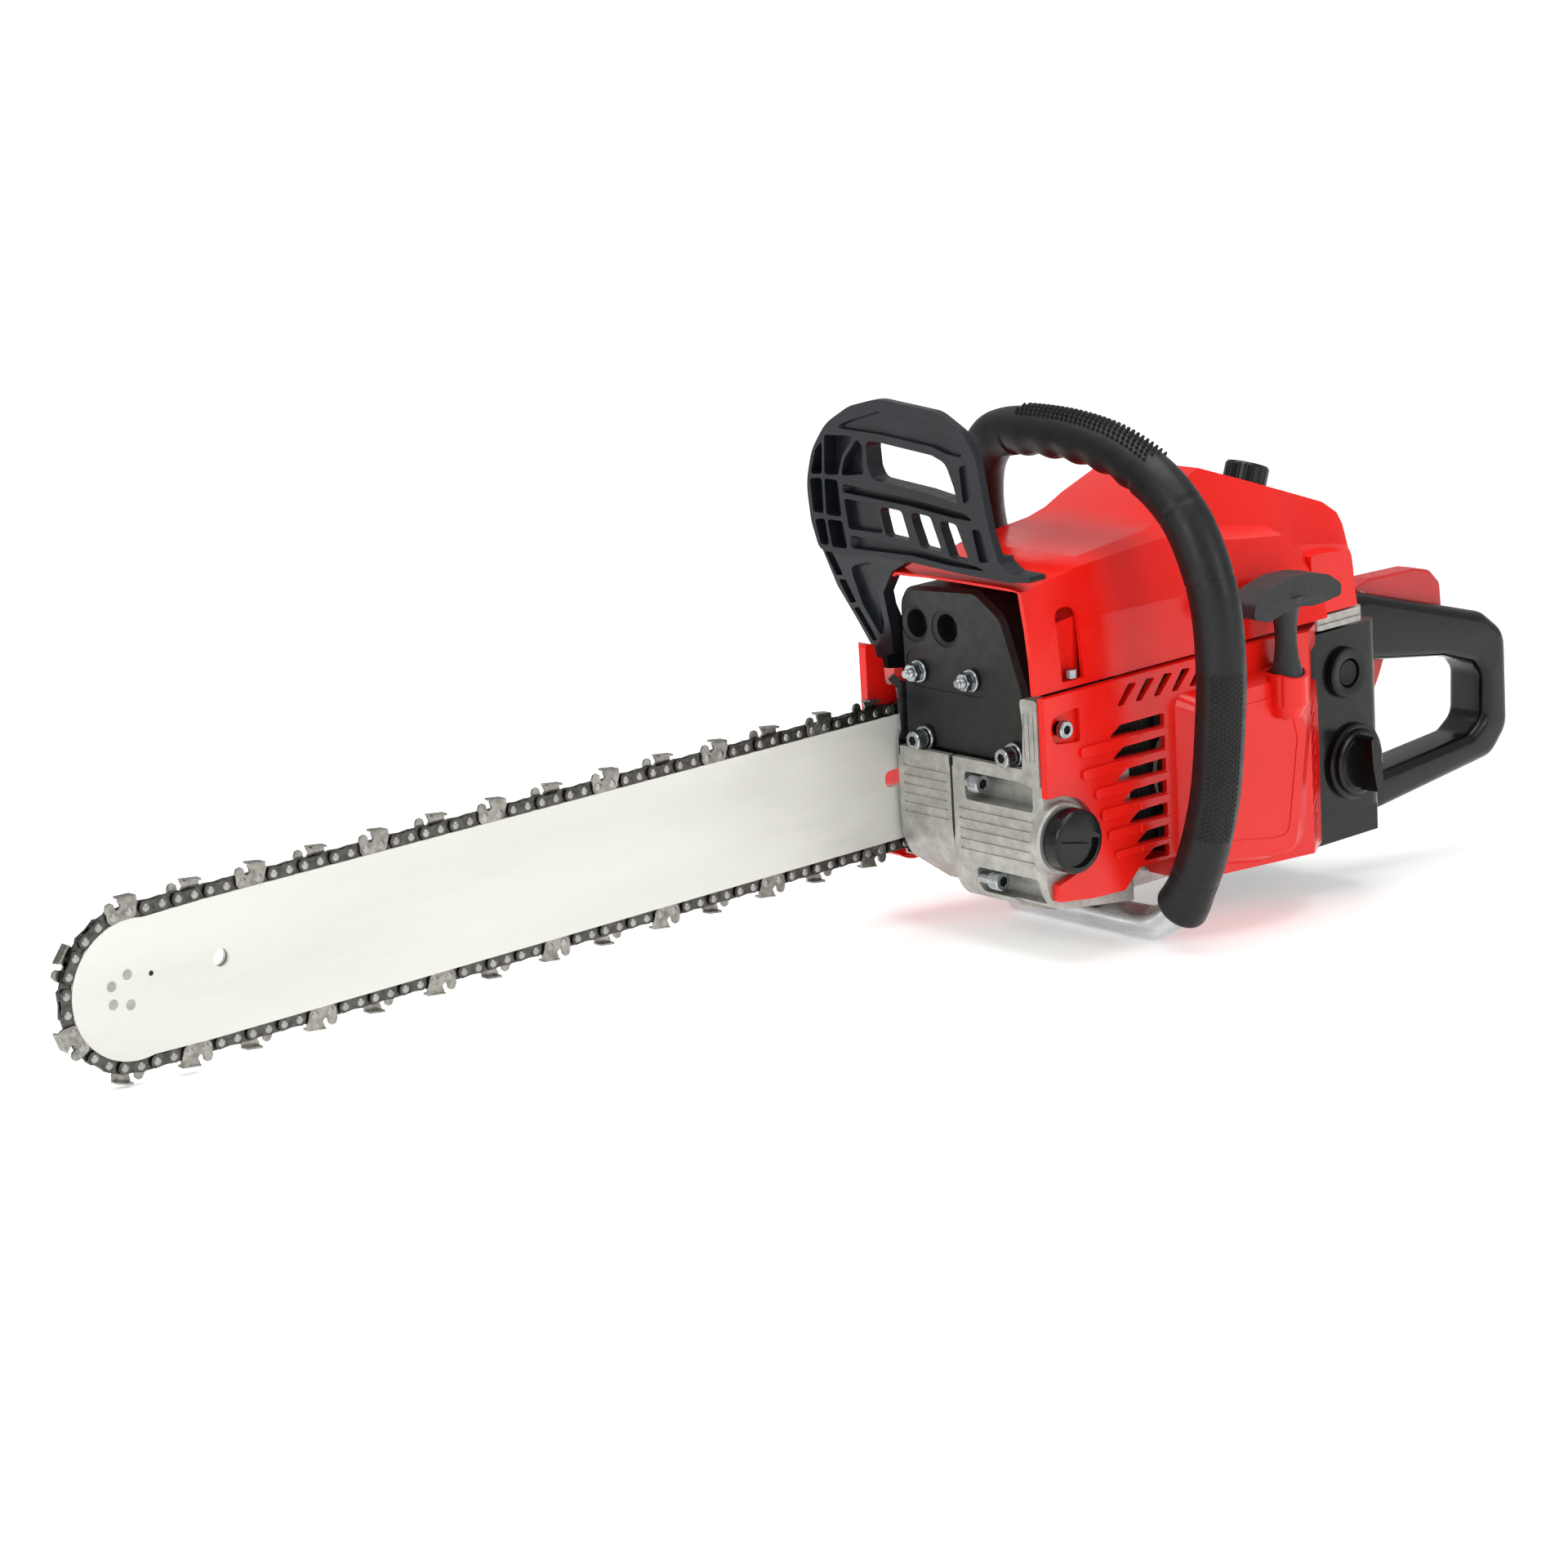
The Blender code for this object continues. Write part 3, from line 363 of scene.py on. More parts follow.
# The levers are the same plastic from a duller tool.
red_lever, tree, shader, place = start("moulded_abs_lever", IOR=1.53)
tone = add(tree, "TexNoise", Vector=place, Scale=per_mm(30))
add(tree, "ValToRGB", "Base Color", Fac=tone, stops=((0.3, "#B31616"), (0.7, "#C01A19")))
wear = add(tree, "TexNoise", Vector=place, Scale=per_mm(4), Detail=4.0)
add(tree, "MapRange", "Roughness", Value=wear, From_Min=0.3, From_Max=0.7, To_Min=0.28, To_Max=0.42)
grain = add(tree, "TexNoise", Vector=place, Scale=per_mm(0.9), Detail=3.0)
add(tree, "Bump", "Normal", Height=grain, Distance=0.02 * MM, Strength=0.6)

# %% [markdown]
# The guard, tank and rear handle are glass-filled nylon. The guard's tool is lightly etched, which
# gives a dull blue-black; the tank's tool is smoother, so long soft highlights run along it.

# %% Glass-filled nylon
guard_nylon, tree, shader, place = start("glass_filled_nylon_etched", IOR=1.53, Specular_IOR_Level=0.26)
tone = add(tree, "TexNoise", Vector=place, Scale=per_mm(25), Detail=3.0)
add(tree, "ValToRGB", "Base Color", Fac=tone, stops=((0.3, "#14171B"), (0.7, "#1C1F25")))
wear = add(tree, "TexNoise", Vector=place, Scale=per_mm(5), Detail=4.0)
add(tree, "MapRange", "Roughness", Value=wear, From_Min=0.3, From_Max=0.7, To_Min=0.26, To_Max=0.4)
# The etched grain is near 0.1 mm, too fine to show, so it is drawn at 0.7 mm.
grain = add(tree, "TexNoise", Vector=place, Scale=per_mm(0.7), Detail=4.0)
fine = add(tree, "Bump", Height=grain, Distance=0.03 * MM, Strength=0.5)
grain = add(tree, "TexNoise", Vector=place, Scale=per_mm(11), Detail=2.0)
add(tree, "Bump", "Normal", Height=grain, Distance=0.12 * MM, Strength=0.35, Normal=fine)

# The smoother tool leaves a glossy black whose highlights stay long and soft.
tank_nylon, tree, shader, place = start("glass_filled_nylon_smooth", IOR=1.53, Specular_IOR_Level=0.28)
tone = add(tree, "TexNoise", Vector=place, Scale=per_mm(40), Detail=3.0)
add(tree, "ValToRGB", "Base Color", Fac=tone, stops=((0.3, "#0A0A0B"), (0.7, "#101011")))
wear = add(tree, "TexNoise", Vector=place, Scale=per_mm(8), Detail=4.0)
add(tree, "MapRange", "Roughness", Value=wear, From_Min=0.3, From_Max=0.7, To_Min=0.16, To_Max=0.3)
grain = add(tree, "TexNoise", Vector=place, Scale=per_mm(0.8), Detail=3.0)
fine = add(tree, "Bump", Height=grain, Distance=0.015 * MM, Strength=0.4)
grain = add(tree, "TexNoise", Vector=place, Scale=per_mm(16), Detail=2.0)
add(tree, "Bump", "Normal", Height=grain, Distance=0.1 * MM, Strength=0.3, Normal=fine)

# %% [markdown]
# The front grip is a soft rubber sleeve, pressed in a sand-blasted mould. It has no real gloss, only
# a broad sheen, and a fine stipple that a glove holds on to.

# %% Rubber and the pull handle
grip_rubber, tree, shader, place = start("pressed_rubber", IOR=1.52, Specular_IOR_Level=0.28)
tone = add(tree, "TexNoise", Vector=place, Scale=per_mm(18), Detail=3.0)
add(tree, "ValToRGB", "Base Color", Fac=tone, stops=((0.3, "#111213"), (0.7, "#18191A")))
wear = add(tree, "TexNoise", Vector=place, Scale=per_mm(6), Detail=5.0)
add(tree, "MapRange", "Roughness", Value=wear, From_Min=0.3, From_Max=0.7, To_Min=0.34, To_Max=0.5)
grain = add(tree, "TexNoise", Vector=place, Scale=per_mm(0.8), Detail=4.0, Roughness=0.6)
fine = add(tree, "Bump", Height=grain, Distance=0.06 * MM, Strength=0.5)
grain = add(tree, "TexNoise", Vector=place, Scale=per_mm(9), Detail=2.0)
add(tree, "Bump", "Normal", Height=grain, Distance=0.15 * MM, Strength=0.3, Normal=fine)

# The pull handle is plain moulded nylon, matt and a little greyer than the rubber.
pull_nylon, tree, shader, place = start("moulded_nylon_matt", IOR=1.53, Specular_IOR_Level=0.35)
tone = add(tree, "TexNoise", Vector=place, Scale=per_mm(20), Detail=3.0)
add(tree, "ValToRGB", "Base Color", Fac=tone, stops=((0.3, "#212224"), (0.7, "#2A2B2D")))
wear = add(tree, "TexNoise", Vector=place, Scale=per_mm(4), Detail=4.0)
add(tree, "MapRange", "Roughness", Value=wear, From_Min=0.3, From_Max=0.7, To_Min=0.45, To_Max=0.6)
grain = add(tree, "TexNoise", Vector=place, Scale=per_mm(0.8), Detail=4.0)
add(tree, "Bump", "Normal", Height=grain, Distance=0.03 * MM, Strength=0.5)

# %% [markdown]
# The crankcase is die-cast magnesium, vibratory-finished: grey, with a soft metallic sheen, tiny
# pits and brighter rubbed spots on its high places.

# %% Die-cast magnesium
cast_metal, tree, shader, place = start("die_cast_magnesium", Metallic=0.7)
mottle = add(tree, "TexNoise", Vector=place, Scale=per_mm(7), Detail=6.0, Roughness=0.65)
add(tree, "ValToRGB", "Base Color", Fac=mottle, stops=((0.32, "#9B9A95"), (0.5, "#ABAAA5"),
                                                       (0.68, "#BDBCB7")))
wear = add(tree, "TexNoise", Vector=place, Scale=per_mm(2.5), Detail=5.0)
add(tree, "MapRange", "Roughness", Value=wear, From_Min=0.3, From_Max=0.7, To_Min=0.38, To_Max=0.6)
pits = add(tree, "TexVoronoi", Vector=place, Scale=per_mm(1.1))
fine = add(tree, "Bump", Height=pits, Distance=0.09 * MM, Strength=0.35)
grain = add(tree, "TexNoise", Vector=place, Scale=per_mm(3.5), Detail=5.0, Roughness=0.6)
add(tree, "Bump", "Normal", Height=grain, Distance=0.16 * MM, Strength=0.5, Normal=fine)

# %% [markdown]
# The handle tube is extruded aluminium, tumbled bright, with drawn-out scratches along it. Machined
# steel and zinc-plated fasteners are bright too, but greyer or bluer and with finer marks.

# %% Bright metals
bright_aluminium, tree, shader, place = start("tumbled_aluminium", Metallic=1.0)
stretched = add(tree, "Mapping", Vector=place, Scale=(1.0, 0.12, 0.5))
tone = add(tree, "TexNoise", Vector=stretched, Scale=per_mm(3), Detail=4.0)
add(tree, "ValToRGB", "Base Color", Fac=tone, stops=((0.3, "#C6C8CA"), (0.7, "#E2E4E5")))
wear = add(tree, "TexNoise", Vector=stretched, Scale=per_mm(2), Detail=6.0)
add(tree, "MapRange", "Roughness", Value=wear, From_Min=0.3, From_Max=0.7, To_Min=0.16, To_Max=0.4)
grain = add(tree, "TexNoise", Vector=stretched, Scale=per_mm(1.6), Detail=5.0, Roughness=0.6)
add(tree, "Bump", "Normal", Height=grain, Distance=0.05 * MM, Strength=0.5)

# Zinc plate gives a cool, even shine with hardly any texture.
zinc, tree, shader, place = start("zinc_plated_steel", Metallic=1.0)
tone = add(tree, "TexNoise", Vector=place, Scale=per_mm(5), Detail=2.0)
add(tree, "ValToRGB", "Base Color", Fac=tone, stops=((0.3, "#959B9E"), (0.7, "#B9BEC0")))
wear = add(tree, "TexNoise", Vector=place, Scale=per_mm(3), Detail=3.0)
add(tree, "MapRange", "Roughness", Value=wear, From_Min=0.3, From_Max=0.7, To_Min=0.2, To_Max=0.3)
grain = add(tree, "TexNoise", Vector=place, Scale=per_mm(2), Detail=2.0)
add(tree, "Bump", "Normal", Height=grain, Distance=0.01 * MM, Strength=0.3)

# Turned steel keeps tool marks of about 0.2 mm; drawn at 0.8 mm they break up the highlight.
machined, tree, shader, place = start("machined_steel", Metallic=1.0)
tone = add(tree, "TexNoise", Vector=place, Scale=per_mm(12), Detail=3.0)
add(tree, "ValToRGB", "Base Color", Fac=tone, stops=((0.3, "#8F8E8C"), (0.7, "#A9A8A5")))
wear = add(tree, "TexNoise", Vector=place, Scale=per_mm(1.0), Detail=5.0)
add(tree, "MapRange", "Roughness", Value=wear, From_Min=0.3, From_Max=0.7, To_Min=0.25, To_Max=0.45)
grain = add(tree, "TexNoise", Vector=place, Scale=per_mm(0.8), Detail=3.0)
add(tree, "Bump", "Normal", Height=grain, Distance=0.02 * MM, Strength=0.5)

# %% [markdown]
# The bar is ground steel under a thin satin lacquer, warm grey and almost even, with faint smears.
# The chain has three looks: blackened straps, chromed cutters and rivets polished by spinning.

# %% Bar and chain metals
bar_lacquer, tree, shader, place = start("lacquered_bar_steel", Metallic=0.2, IOR=1.5)
along = add(tree, "Mapping", Vector=place, Scale=(0.2, 1.0, 1.0))
smears = add(tree, "TexNoise", Vector=along, Scale=per_mm(40), Detail=5.0, Roughness=0.6)
add(tree, "ValToRGB", "Base Color", Fac=smears, stops=((0.3, "#CECEC7"), (0.5, "#D6D6CF"),
                                                       (0.72, "#DCDCD5")))
wear = add(tree, "TexNoise", Vector=along, Scale=per_mm(10), Detail=5.0)
add(tree, "MapRange", "Roughness", Value=wear, From_Min=0.3, From_Max=0.7, To_Min=0.3, To_Max=0.46)
grain = add(tree, "TexNoise", Vector=along, Scale=per_mm(1.2), Detail=4.0)
add(tree, "Bump", "Normal", Height=grain, Distance=0.012 * MM, Strength=0.5)

# Blackened steel: a dark oxide with an oily glint on its edges.
strap_steel, tree, shader, place = start("blackened_chain_steel", Metallic=1.0)
tone = add(tree, "TexNoise", Vector=place, Scale=per_mm(3), Detail=5.0)
add(tree, "ValToRGB", "Base Color", Fac=tone, stops=((0.3, "#3E3D3A"), (0.7, "#5E5C58")))
wear = add(tree, "TexNoise", Vector=place, Scale=per_mm(1.5), Detail=5.0)
add(tree, "MapRange", "Roughness", Value=wear, From_Min=0.3, From_Max=0.7, To_Min=0.25, To_Max=0.42)
grain = add(tree, "TexNoise", Vector=place, Scale=per_mm(0.9), Detail=3.0)
add(tree, "Bump", "Normal", Height=grain, Distance=0.02 * MM, Strength=0.5)

# Hard chrome over ground steel: the brightest links, but smoky from use.
cutter_chrome, tree, shader, place = start("chromed_cutter_steel", Metallic=1.0)
tone = add(tree, "TexNoise", Vector=place, Scale=per_mm(4), Detail=5.0)
add(tree, "ValToRGB", "Base Color", Fac=tone, stops=((0.3, "#6E6C67"), (0.7, "#9C9A93")))
wear = add(tree, "TexNoise", Vector=place, Scale=per_mm(1.5), Detail=5.0)
add(tree, "MapRange", "Roughness", Value=wear, From_Min=0.3, From_Max=0.7, To_Min=0.18, To_Max=0.34)
grain = add(tree, "TexNoise", Vector=place, Scale=per_mm(0.9), Detail=3.0)
add(tree, "Bump", "Normal", Height=grain, Distance=0.02 * MM, Strength=0.5)

# %% [markdown]
# The muffler is pressed sheet steel in heat-proof paint. The paint is thin and dead flat with a
# slight grain, so it shows only a faint grey where the light rakes over it.

# %% Heat-proof paint and small leftovers
heat_paint, tree, shader, place = start("heat_proof_paint", IOR=1.5)
tone = add(tree, "TexNoise", Vector=place, Scale=per_mm(22), Detail=4.0)
add(tree, "ValToRGB", "Base Color", Fac=tone, stops=((0.3, "#0D0D0D"), (0.7, "#131313")))
wear = add(tree, "TexNoise", Vector=place, Scale=per_mm(5), Detail=5.0)
add(tree, "MapRange", "Roughness", Value=wear, From_Min=0.3, From_Max=0.7, To_Min=0.4, To_Max=0.58)
grain = add(tree, "TexNoise", Vector=place, Scale=per_mm(0.8), Detail=4.0)
fine = add(tree, "Bump", Height=grain, Distance=0.03 * MM, Strength=0.5)
grain = add(tree, "TexNoise", Vector=place, Scale=per_mm(12), Detail=2.0)
add(tree, "Bump", "Normal", Height=grain, Distance=0.15 * MM, Strength=0.3, Normal=fine)

# %% [markdown]
# A few finishes are seen only in gaps or when the covers are off: a brown-black of painted shade that
# also colours the gasket, the plug's porcelain, the filter's felt and the starter rope.

# %% Small leftovers
# Deep openings are backed with a brown-black that paints the shade in them, so nothing shines there;
# the gasket's dark joint takes the same colour.
shade_and_joint_black, tree, shader, place = start("painted_shade_and_joint_black", IOR=1.5)
tone = add(tree, "TexNoise", Vector=place, Scale=per_mm(8), Detail=4.0)
add(tree, "ValToRGB", "Base Color", Fac=tone, stops=((0.3, "#070606"), (0.7, "#100F0F")))
wear = add(tree, "TexNoise", Vector=place, Scale=per_mm(3), Detail=4.0)
add(tree, "MapRange", "Roughness", Value=wear, From_Min=0.3, From_Max=0.7, To_Min=0.6, To_Max=0.8)
grain = add(tree, "TexNoise", Vector=place, Scale=per_mm(1.5), Detail=4.0)
add(tree, "Bump", "Normal", Height=grain, Distance=0.05 * MM, Strength=0.5)

# The spark plug's insulator is glazed: warm white and wet-looking.
glazed, tree, shader, place = start("glazed_porcelain", IOR=1.5)
tone = add(tree, "TexNoise", Vector=place, Scale=per_mm(10))
add(tree, "ValToRGB", "Base Color", Fac=tone, stops=((0.3, "#E6E3DA"), (0.7, "#F0EEE7")))
wear = add(tree, "TexNoise", Vector=place, Scale=per_mm(5))
add(tree, "MapRange", "Roughness", Value=wear, From_Min=0.3, From_Max=0.7, To_Min=0.1, To_Max=0.2)

# The air filter is pressed felt: pale, fibrous and without any shine.
felt, tree, shader, place = start("pressed_felt", IOR=1.5)
tone = add(tree, "TexNoise", Vector=place, Scale=per_mm(2), Detail=6.0)
add(tree, "ValToRGB", "Base Color", Fac=tone, stops=((0.3, "#C9C3AE"), (0.7, "#DDD8C6")))
wear = add(tree, "TexNoise", Vector=place, Scale=per_mm(2))
add(tree, "MapRange", "Roughness", Value=wear, From_Min=0.3, From_Max=0.7, To_Min=0.85, To_Max=0.98)
grain = add(tree, "TexNoise", Vector=place, Scale=per_mm(1.0), Detail=6.0, Roughness=0.7)
add(tree, "Bump", "Normal", Height=grain, Distance=0.3 * MM, Strength=0.8)

# Braided nylon: each strand is about 1.3 mm wide and catches the light as a small oval.
rope_nylon, tree, shader, place = start("braided_nylon_rope", IOR=1.53)
tone = add(tree, "TexNoise", Vector=place, Scale=per_mm(2), Detail=4.0)
add(tree, "ValToRGB", "Base Color", Fac=tone, stops=((0.3, "#B9B4A6"), (0.7, "#D9D5CA")))
wear = add(tree, "TexNoise", Vector=place, Scale=per_mm(2))
add(tree, "MapRange", "Roughness", Value=wear, From_Min=0.3, From_Max=0.7, To_Min=0.6, To_Max=0.8)
grain = add(tree, "TexVoronoi", Vector=place, Scale=per_mm(1.3))
add(tree, "Bump", "Normal", Height=grain, Distance=0.2 * MM, Strength=0.6)

# %% [markdown]
# Bearings, shafts and other inner pieces are already right in the frame. They keep their shape and
# only take the finish that their record names.

# %% Finishes for the frame's own pieces
# Pieces of the frame that are already right keep their CAD shape and only take a finish.
cad_finishes = {
    "red_cover": red_abs, "red_lever": red_lever, "black_plastic": tank_nylon, "black_rubber": grip_rubber,
    "cast_alloy": cast_metal, "polished_aluminium": bright_aluminium, "muffler_paint": heat_paint,
    "bar_steel": bar_lacquer, "chain_steel": strap_steel, "zinc_fastener": zinc, "machined_steel": machined,
    "porcelain": glazed, "filter_felt": felt, "rope": rope_nylon,
}
slots = {part["node"]: part["material_slot"] for part in frame["record"]["subparts"]}
for node, part in frame["nodes"].items():
    part.data.materials.clear()
    part.data.materials.append(cad_finishes[slots[node]])
print(len(bpy.data.materials), "materials")

# %% [markdown]
# ## The guide bar
# The bar is three steel sheets welded in a sandwich; the middle one is smaller, which leaves the
# groove that the chain's tangs run in. It is 63 mm wide with a hair of belly along both edges, so
# the chain stays tight against it.

# %% Guide bar
BAR_HALF = 31.5
BAR_FACE = 2.3
belly = [(x, BAR_HALF * (1 - 0.018 * ((x + 200) / 240) ** 2)) for x in range(38, -430, -26)]
nose_arc = arc((NOSE_X, 0), BAR_HALF, 78, 282, 40)
nose_arc = [(x, z * 0.985) for x, z in nose_arc]
tail_end = [(54, -27), (66, -20), (74, -10), (74, 10), (66, 20), (54, 27)]
bar_outline = belly + nose_arc + [(x, -z) for x, z in reversed(belly)] + tail_end
bar_cuts = [("-", prism("XZ", rounded([(-7, -4.2), (66, -4.2), (66, 4.2), (-7, 4.2)], 4.0, 8), -4, 4))]
bar_cuts += [("-", drum("Y", (x, -4, z), 8, r, sides=40)) for x, z,
             r in ((-396.5, 3.5, 4.0), (8, -15, 2.8), (8, 15, 2.8))]
bar_cuts += [("-", lathe("Y", (NOSE_X, -0.85, 0), [(60, 1.7), (60, 0), (26.5, 0), (26.5, 1.7)], 64))]
for side in (1, -1):
    bar_cuts.append(("-", brick((-430, -0.8, side * 26.5 - 6.5), (90, 0.8, side * 26.5 + 6.5))))
bar = piece(carve("bar_plate", prism("XZ", bar_outline, -BAR_FACE, BAR_FACE), bar_cuts), bar_lacquer,
            "powerhead", "guide_bar", edge=0.35, segments=2)

# %% [markdown]
# The nose wheel turns on a small bearing, held between the bar's sheets by four rivets. They are
# ground nearly flush, so they are drawn as discs only a tenth of a millimetre proud.

# %% Nose rivets and grease hole
# Four rivets hold the nose wheel's bearing, and a small hole beside them takes grease.
nose_rivets = [(-3.3, 7.4), (-11.5, 4.0), (-11.5, -4.0), (-3.0, -6.0)]
dots = [drum("Y", (NOSE_X + x, -BAR_FACE - 0.12, z), 0.3, 2.3, 2.5, 24) for x, z in nose_rivets]
dots += [drum("Y", (NOSE_X + x, BAR_FACE - 0.18, z), 0.3, 2.5, 2.3, 24) for x, z in nose_rivets]
piece(to_object("nose_rivets", merge(*dots)), machined, "powerhead", edge=0.08, segments=1)
# The grease hole is drawn as a dark disc, painted shade inside the hole.
grease = drum("Y", (NOSE_X + 8.5, -BAR_FACE - 0.03, 5.2), 0.2, 1.2, sides=20)
piece(to_object("grease_hole_shade", grease), shade_and_joint_black, "powerhead")

# %% [markdown]
# ## The chain
# A .325-inch chain has a rivet every 8.26 mm. Tangs (drive links) run in the groove, and between
# them come pairs of side plates: straps, or one strap and a cutter whose top is bent over. Cutters
# alternate left and right. Seventy-six tangs make the loop, so each link is placed by walking the
# rivet line round the nose, along the bar and round the 7-tooth wheel.

# %% Rivet line
RIVET_STEP = 8.255
LINKS = 76
TEETH = 7
TAIL_X = 40.0
RIVET_RADIUS = BAR_HALF + 2.5
wheel_radius = RIVET_STEP / (2 * math.sin(math.pi / (2 * TEETH)))


def rivet_line():
    """The loop through the rivets, as fine straight steps."""
    reach = Vector((CRANK_X - TAIL_X, -RIVET_RADIUS))
    slope = math.atan2(reach.y, reach.x) + math.asin(wheel_radius / reach.length)
    top = [(NOSE_X + 2.0 * k, RIVET_RADIUS) for k in range(round((TAIL_X - NOSE_X) / 2))]
    top += [(TAIL_X, RIVET_RADIUS), *arc((CRANK_X, 0), wheel_radius, 90 + math.degrees(slope), 0, 24)]
    bottom = [(x, -z) for x, z in reversed(top[1:-1])]
    return top + bottom + arc((NOSE_X, 0), RIVET_RADIUS, 270, 90, 80)[:-1]


loop = [Vector(p) for p in rivet_line()]
loop_length = sum((a - b).length for a, b in zip(loop, loop[1:] + loop[:1]))


def on_loop(distance):
    """The point at a distance round the loop, from the top of the nose and back along the top."""
    distance %= loop_length
    for a, b in zip(loop, loop[1:] + loop[:1]):
        step = (b - a).length
        if distance <= step:
            return a + (b - a) * (distance / step)
        distance -= step
    return loop[0]


FIRST_RIVET = -448.2 - NOSE_X  # the near cutter's front rivet on top of the nose
pitch = loop_length / (2 * LINKS)
rivets = [on_loop(FIRST_RIVET + k * pitch) for k in range(2 * LINKS)]
print("chain loop", round(loop_length, 1), "mm, rivet step", round(pitch, 3), "mm")

# %% [markdown]
# Each kind of link is drawn once, lying along x between two rivets with the bar below it, and then
# copied round the loop. A cutter is one stamping: side plate, top plate bent over towards its far
# side, and the depth gauge that stands ahead of it.

# %% Chain links
NEAR, FAR = -1, 1
STRAP_IN, STRAP_OUT = 0.8, 2.15
half = pitch / 2


def strap_shape(side):
    """A plain side plate, waisted between its two eyes."""
    eye = 3.25
    top = arc((half, 0), eye, -95, 62, 8) + [(0, 2.35)] + arc((-half, 0), eye, 118, 275, 8) + [(0, -2.9)]
    low, high = sorted((side * STRAP_IN, side * STRAP_OUT))
    return prism("XZ", top, low, high)


def tang_shape():
    """A drive link: two eyes and a hooked tang that runs in the groove."""
    hook = arc((half, 0), 3.1, -40, 90, 6) + arc((-half, 0), 3.1, 90, 215, 6)
    hook += [(-3.4, -5.6), (-1.2, -7.6), (1.4, -8.2), (2.0, -6.4), (3.6, -5.0)]
    return prism("XZ", hook, -0.72, 0.72)

# %% [markdown]
# A cutter is a single stamping. Its side plate carries the depth gauge, and its top plate is bent over
# towards the far side and ground sharp at the front; the top is drawn as a tapering bent block.

# %% The cutter


def cutter_shape(side):
    """A cutter, its cutting edge facing -x, with the depth gauge ahead of it."""
    low, high = sorted((side * STRAP_IN, side * STRAP_OUT))
    body = arc((half, 0), 3.3, -95, 0, 5) + [(half + 4.6, 3.2), (half + 4.4, 6.2), (0.2, 7.2), (-0.7, 6.0)]
    body += [(0.3, 3.6), (-1.0, 2.4), (-2.4, 2.5), (-3.0, 5.4), (-4.4, 6.5), (-6.6, 6.1), (-7.6, 4.0)]
    body += arc((-half, 0), 3.4, 165, 275, 6) + [(0, -2.9)]
    plate = prism("XZ", body, low, high)
    top = bmesh.new()
    inner = -side * 2.6
    outer = side * (STRAP_OUT + 0.55)
    rows = []
    for x, z, y in ((-0.9, 7.4, outer), (half + 4.5, 6.4, side * STRAP_OUT)):
        rows.append([top.verts.new((x, y, z - 0.9)), top.verts.new((x, y, z)),
                     top.verts.new((x + (0.8 if x < 0 else -0.6), inner, z + 0.15)),
                     top.verts.new((x + (0.8 if x < 0 else -0.6), inner, z - 0.85))])
    for k in range(4):
        top.faces.new((rows[0][k - 1], rows[0][k], rows[1][k], rows[1][k - 1]))
    top.faces.new(rows[0])
    top.faces.new(rows[1])
    bmesh.ops.recalc_face_normals(top, faces=top.faces)
    return merge(plate, top)

# %% [markdown]
# Every joint has a rivet whose heads are spun into low domes. Each kind of link is kept as one mesh
# and copied between two neighbouring rivets, turned so that its own up faces away from the bar.

# %% Rivets, and copying a link


def rivet_shape():
    """A domed rivet head on each side."""
    dome = [(0, 0.42), (0.9, 0.36), (1.6, 0.18), (1.85, 0), (1.85, -0.6), (0, -0.6)]
    near = moved(lathe("Z", (0, 0, 0), dome, 16), Matrix.Rotation(math.pi / 2, 4, "X"))
    near = moved(near, Matrix.Translation((0, -STRAP_OUT, 0)))
    far = moved(lathe("Z", (0, 0, 0), dome, 16), Matrix.Rotation(-math.pi / 2, 4, "X"))
    return merge(near, moved(far, Matrix.Translation((0, STRAP_OUT, 0))))


def template(maker, *arguments):
    mesh = bpy.data.meshes.new("template")
    shape = maker(*arguments)
    shape.to_mesh(mesh)
    shape.free()
    return mesh


def lay(whole, mesh, a, b):
    """Copies a link between two rivets; outwards from the bar is its own up."""
    run = (b - a).normalized()
    turn = Matrix(((run.x, 0, -run.y, 0), (0, 1, 0, 0), (run.y, 0, run.x, 0), (0, 0, 0, 1)))
    middle = (a + b) / 2
    copy = bmesh.new()
    copy.from_mesh(mesh)
    moved(copy, Matrix.Translation((middle.x, 0, middle.y)) @ turn)
    scrap = bpy.data.meshes.new("scrap")
    copy.to_mesh(scrap)
    copy.free()
    whole.from_mesh(scrap)
    bpy.data.meshes.remove(scrap)

# %% [markdown]
# Now the loop is filled: a tang in every second space, a pair of side plates in the others, and a
# cutter in place of a side plate at every fourth pair, on alternate sides.

# %% Laying the chain
straps = {side: template(strap_shape, side) for side in (NEAR, FAR)}
cutters = {side: template(cutter_shape, side) for side in (NEAR, FAR)}
tang, rivet = template(tang_shape), template(rivet_shape)
strap_run, cutter_run, rivet_run = bmesh.new(), bmesh.new(), bmesh.new()
for k, here in enumerate(rivets):
    following = rivets[(k + 1) % len(rivets)]
    lay(rivet_run, rivet, here - (following - here) / 2, here + (following - here) / 2)
    if k % 2:
        lay(strap_run, tang, here, following)
        continue
    for side in (NEAR, FAR):
        if k % 8 == (0 if side == NEAR else 4):
            lay(cutter_run, cutters[side], here, following)
        else:
            lay(strap_run, straps[side], here, following)
piece(to_object("chain_straps_and_tangs", strap_run), strap_steel, "powerhead", "saw_chain", edge=0.18,
      segments=1)
piece(to_object("chain_cutters", cutter_run), cutter_chrome, "powerhead", edge=0.16, segments=1)
piece(to_object("chain_rivets", rivet_run), machined, "powerhead")

# %% [markdown]
# ## The hand guard
# The guard is also the brake lever: pushed forward by the hand it trips a band round the clutch.
# It is moulded with deep pockets, which leaves thin ribs that cool evenly and keep it light.

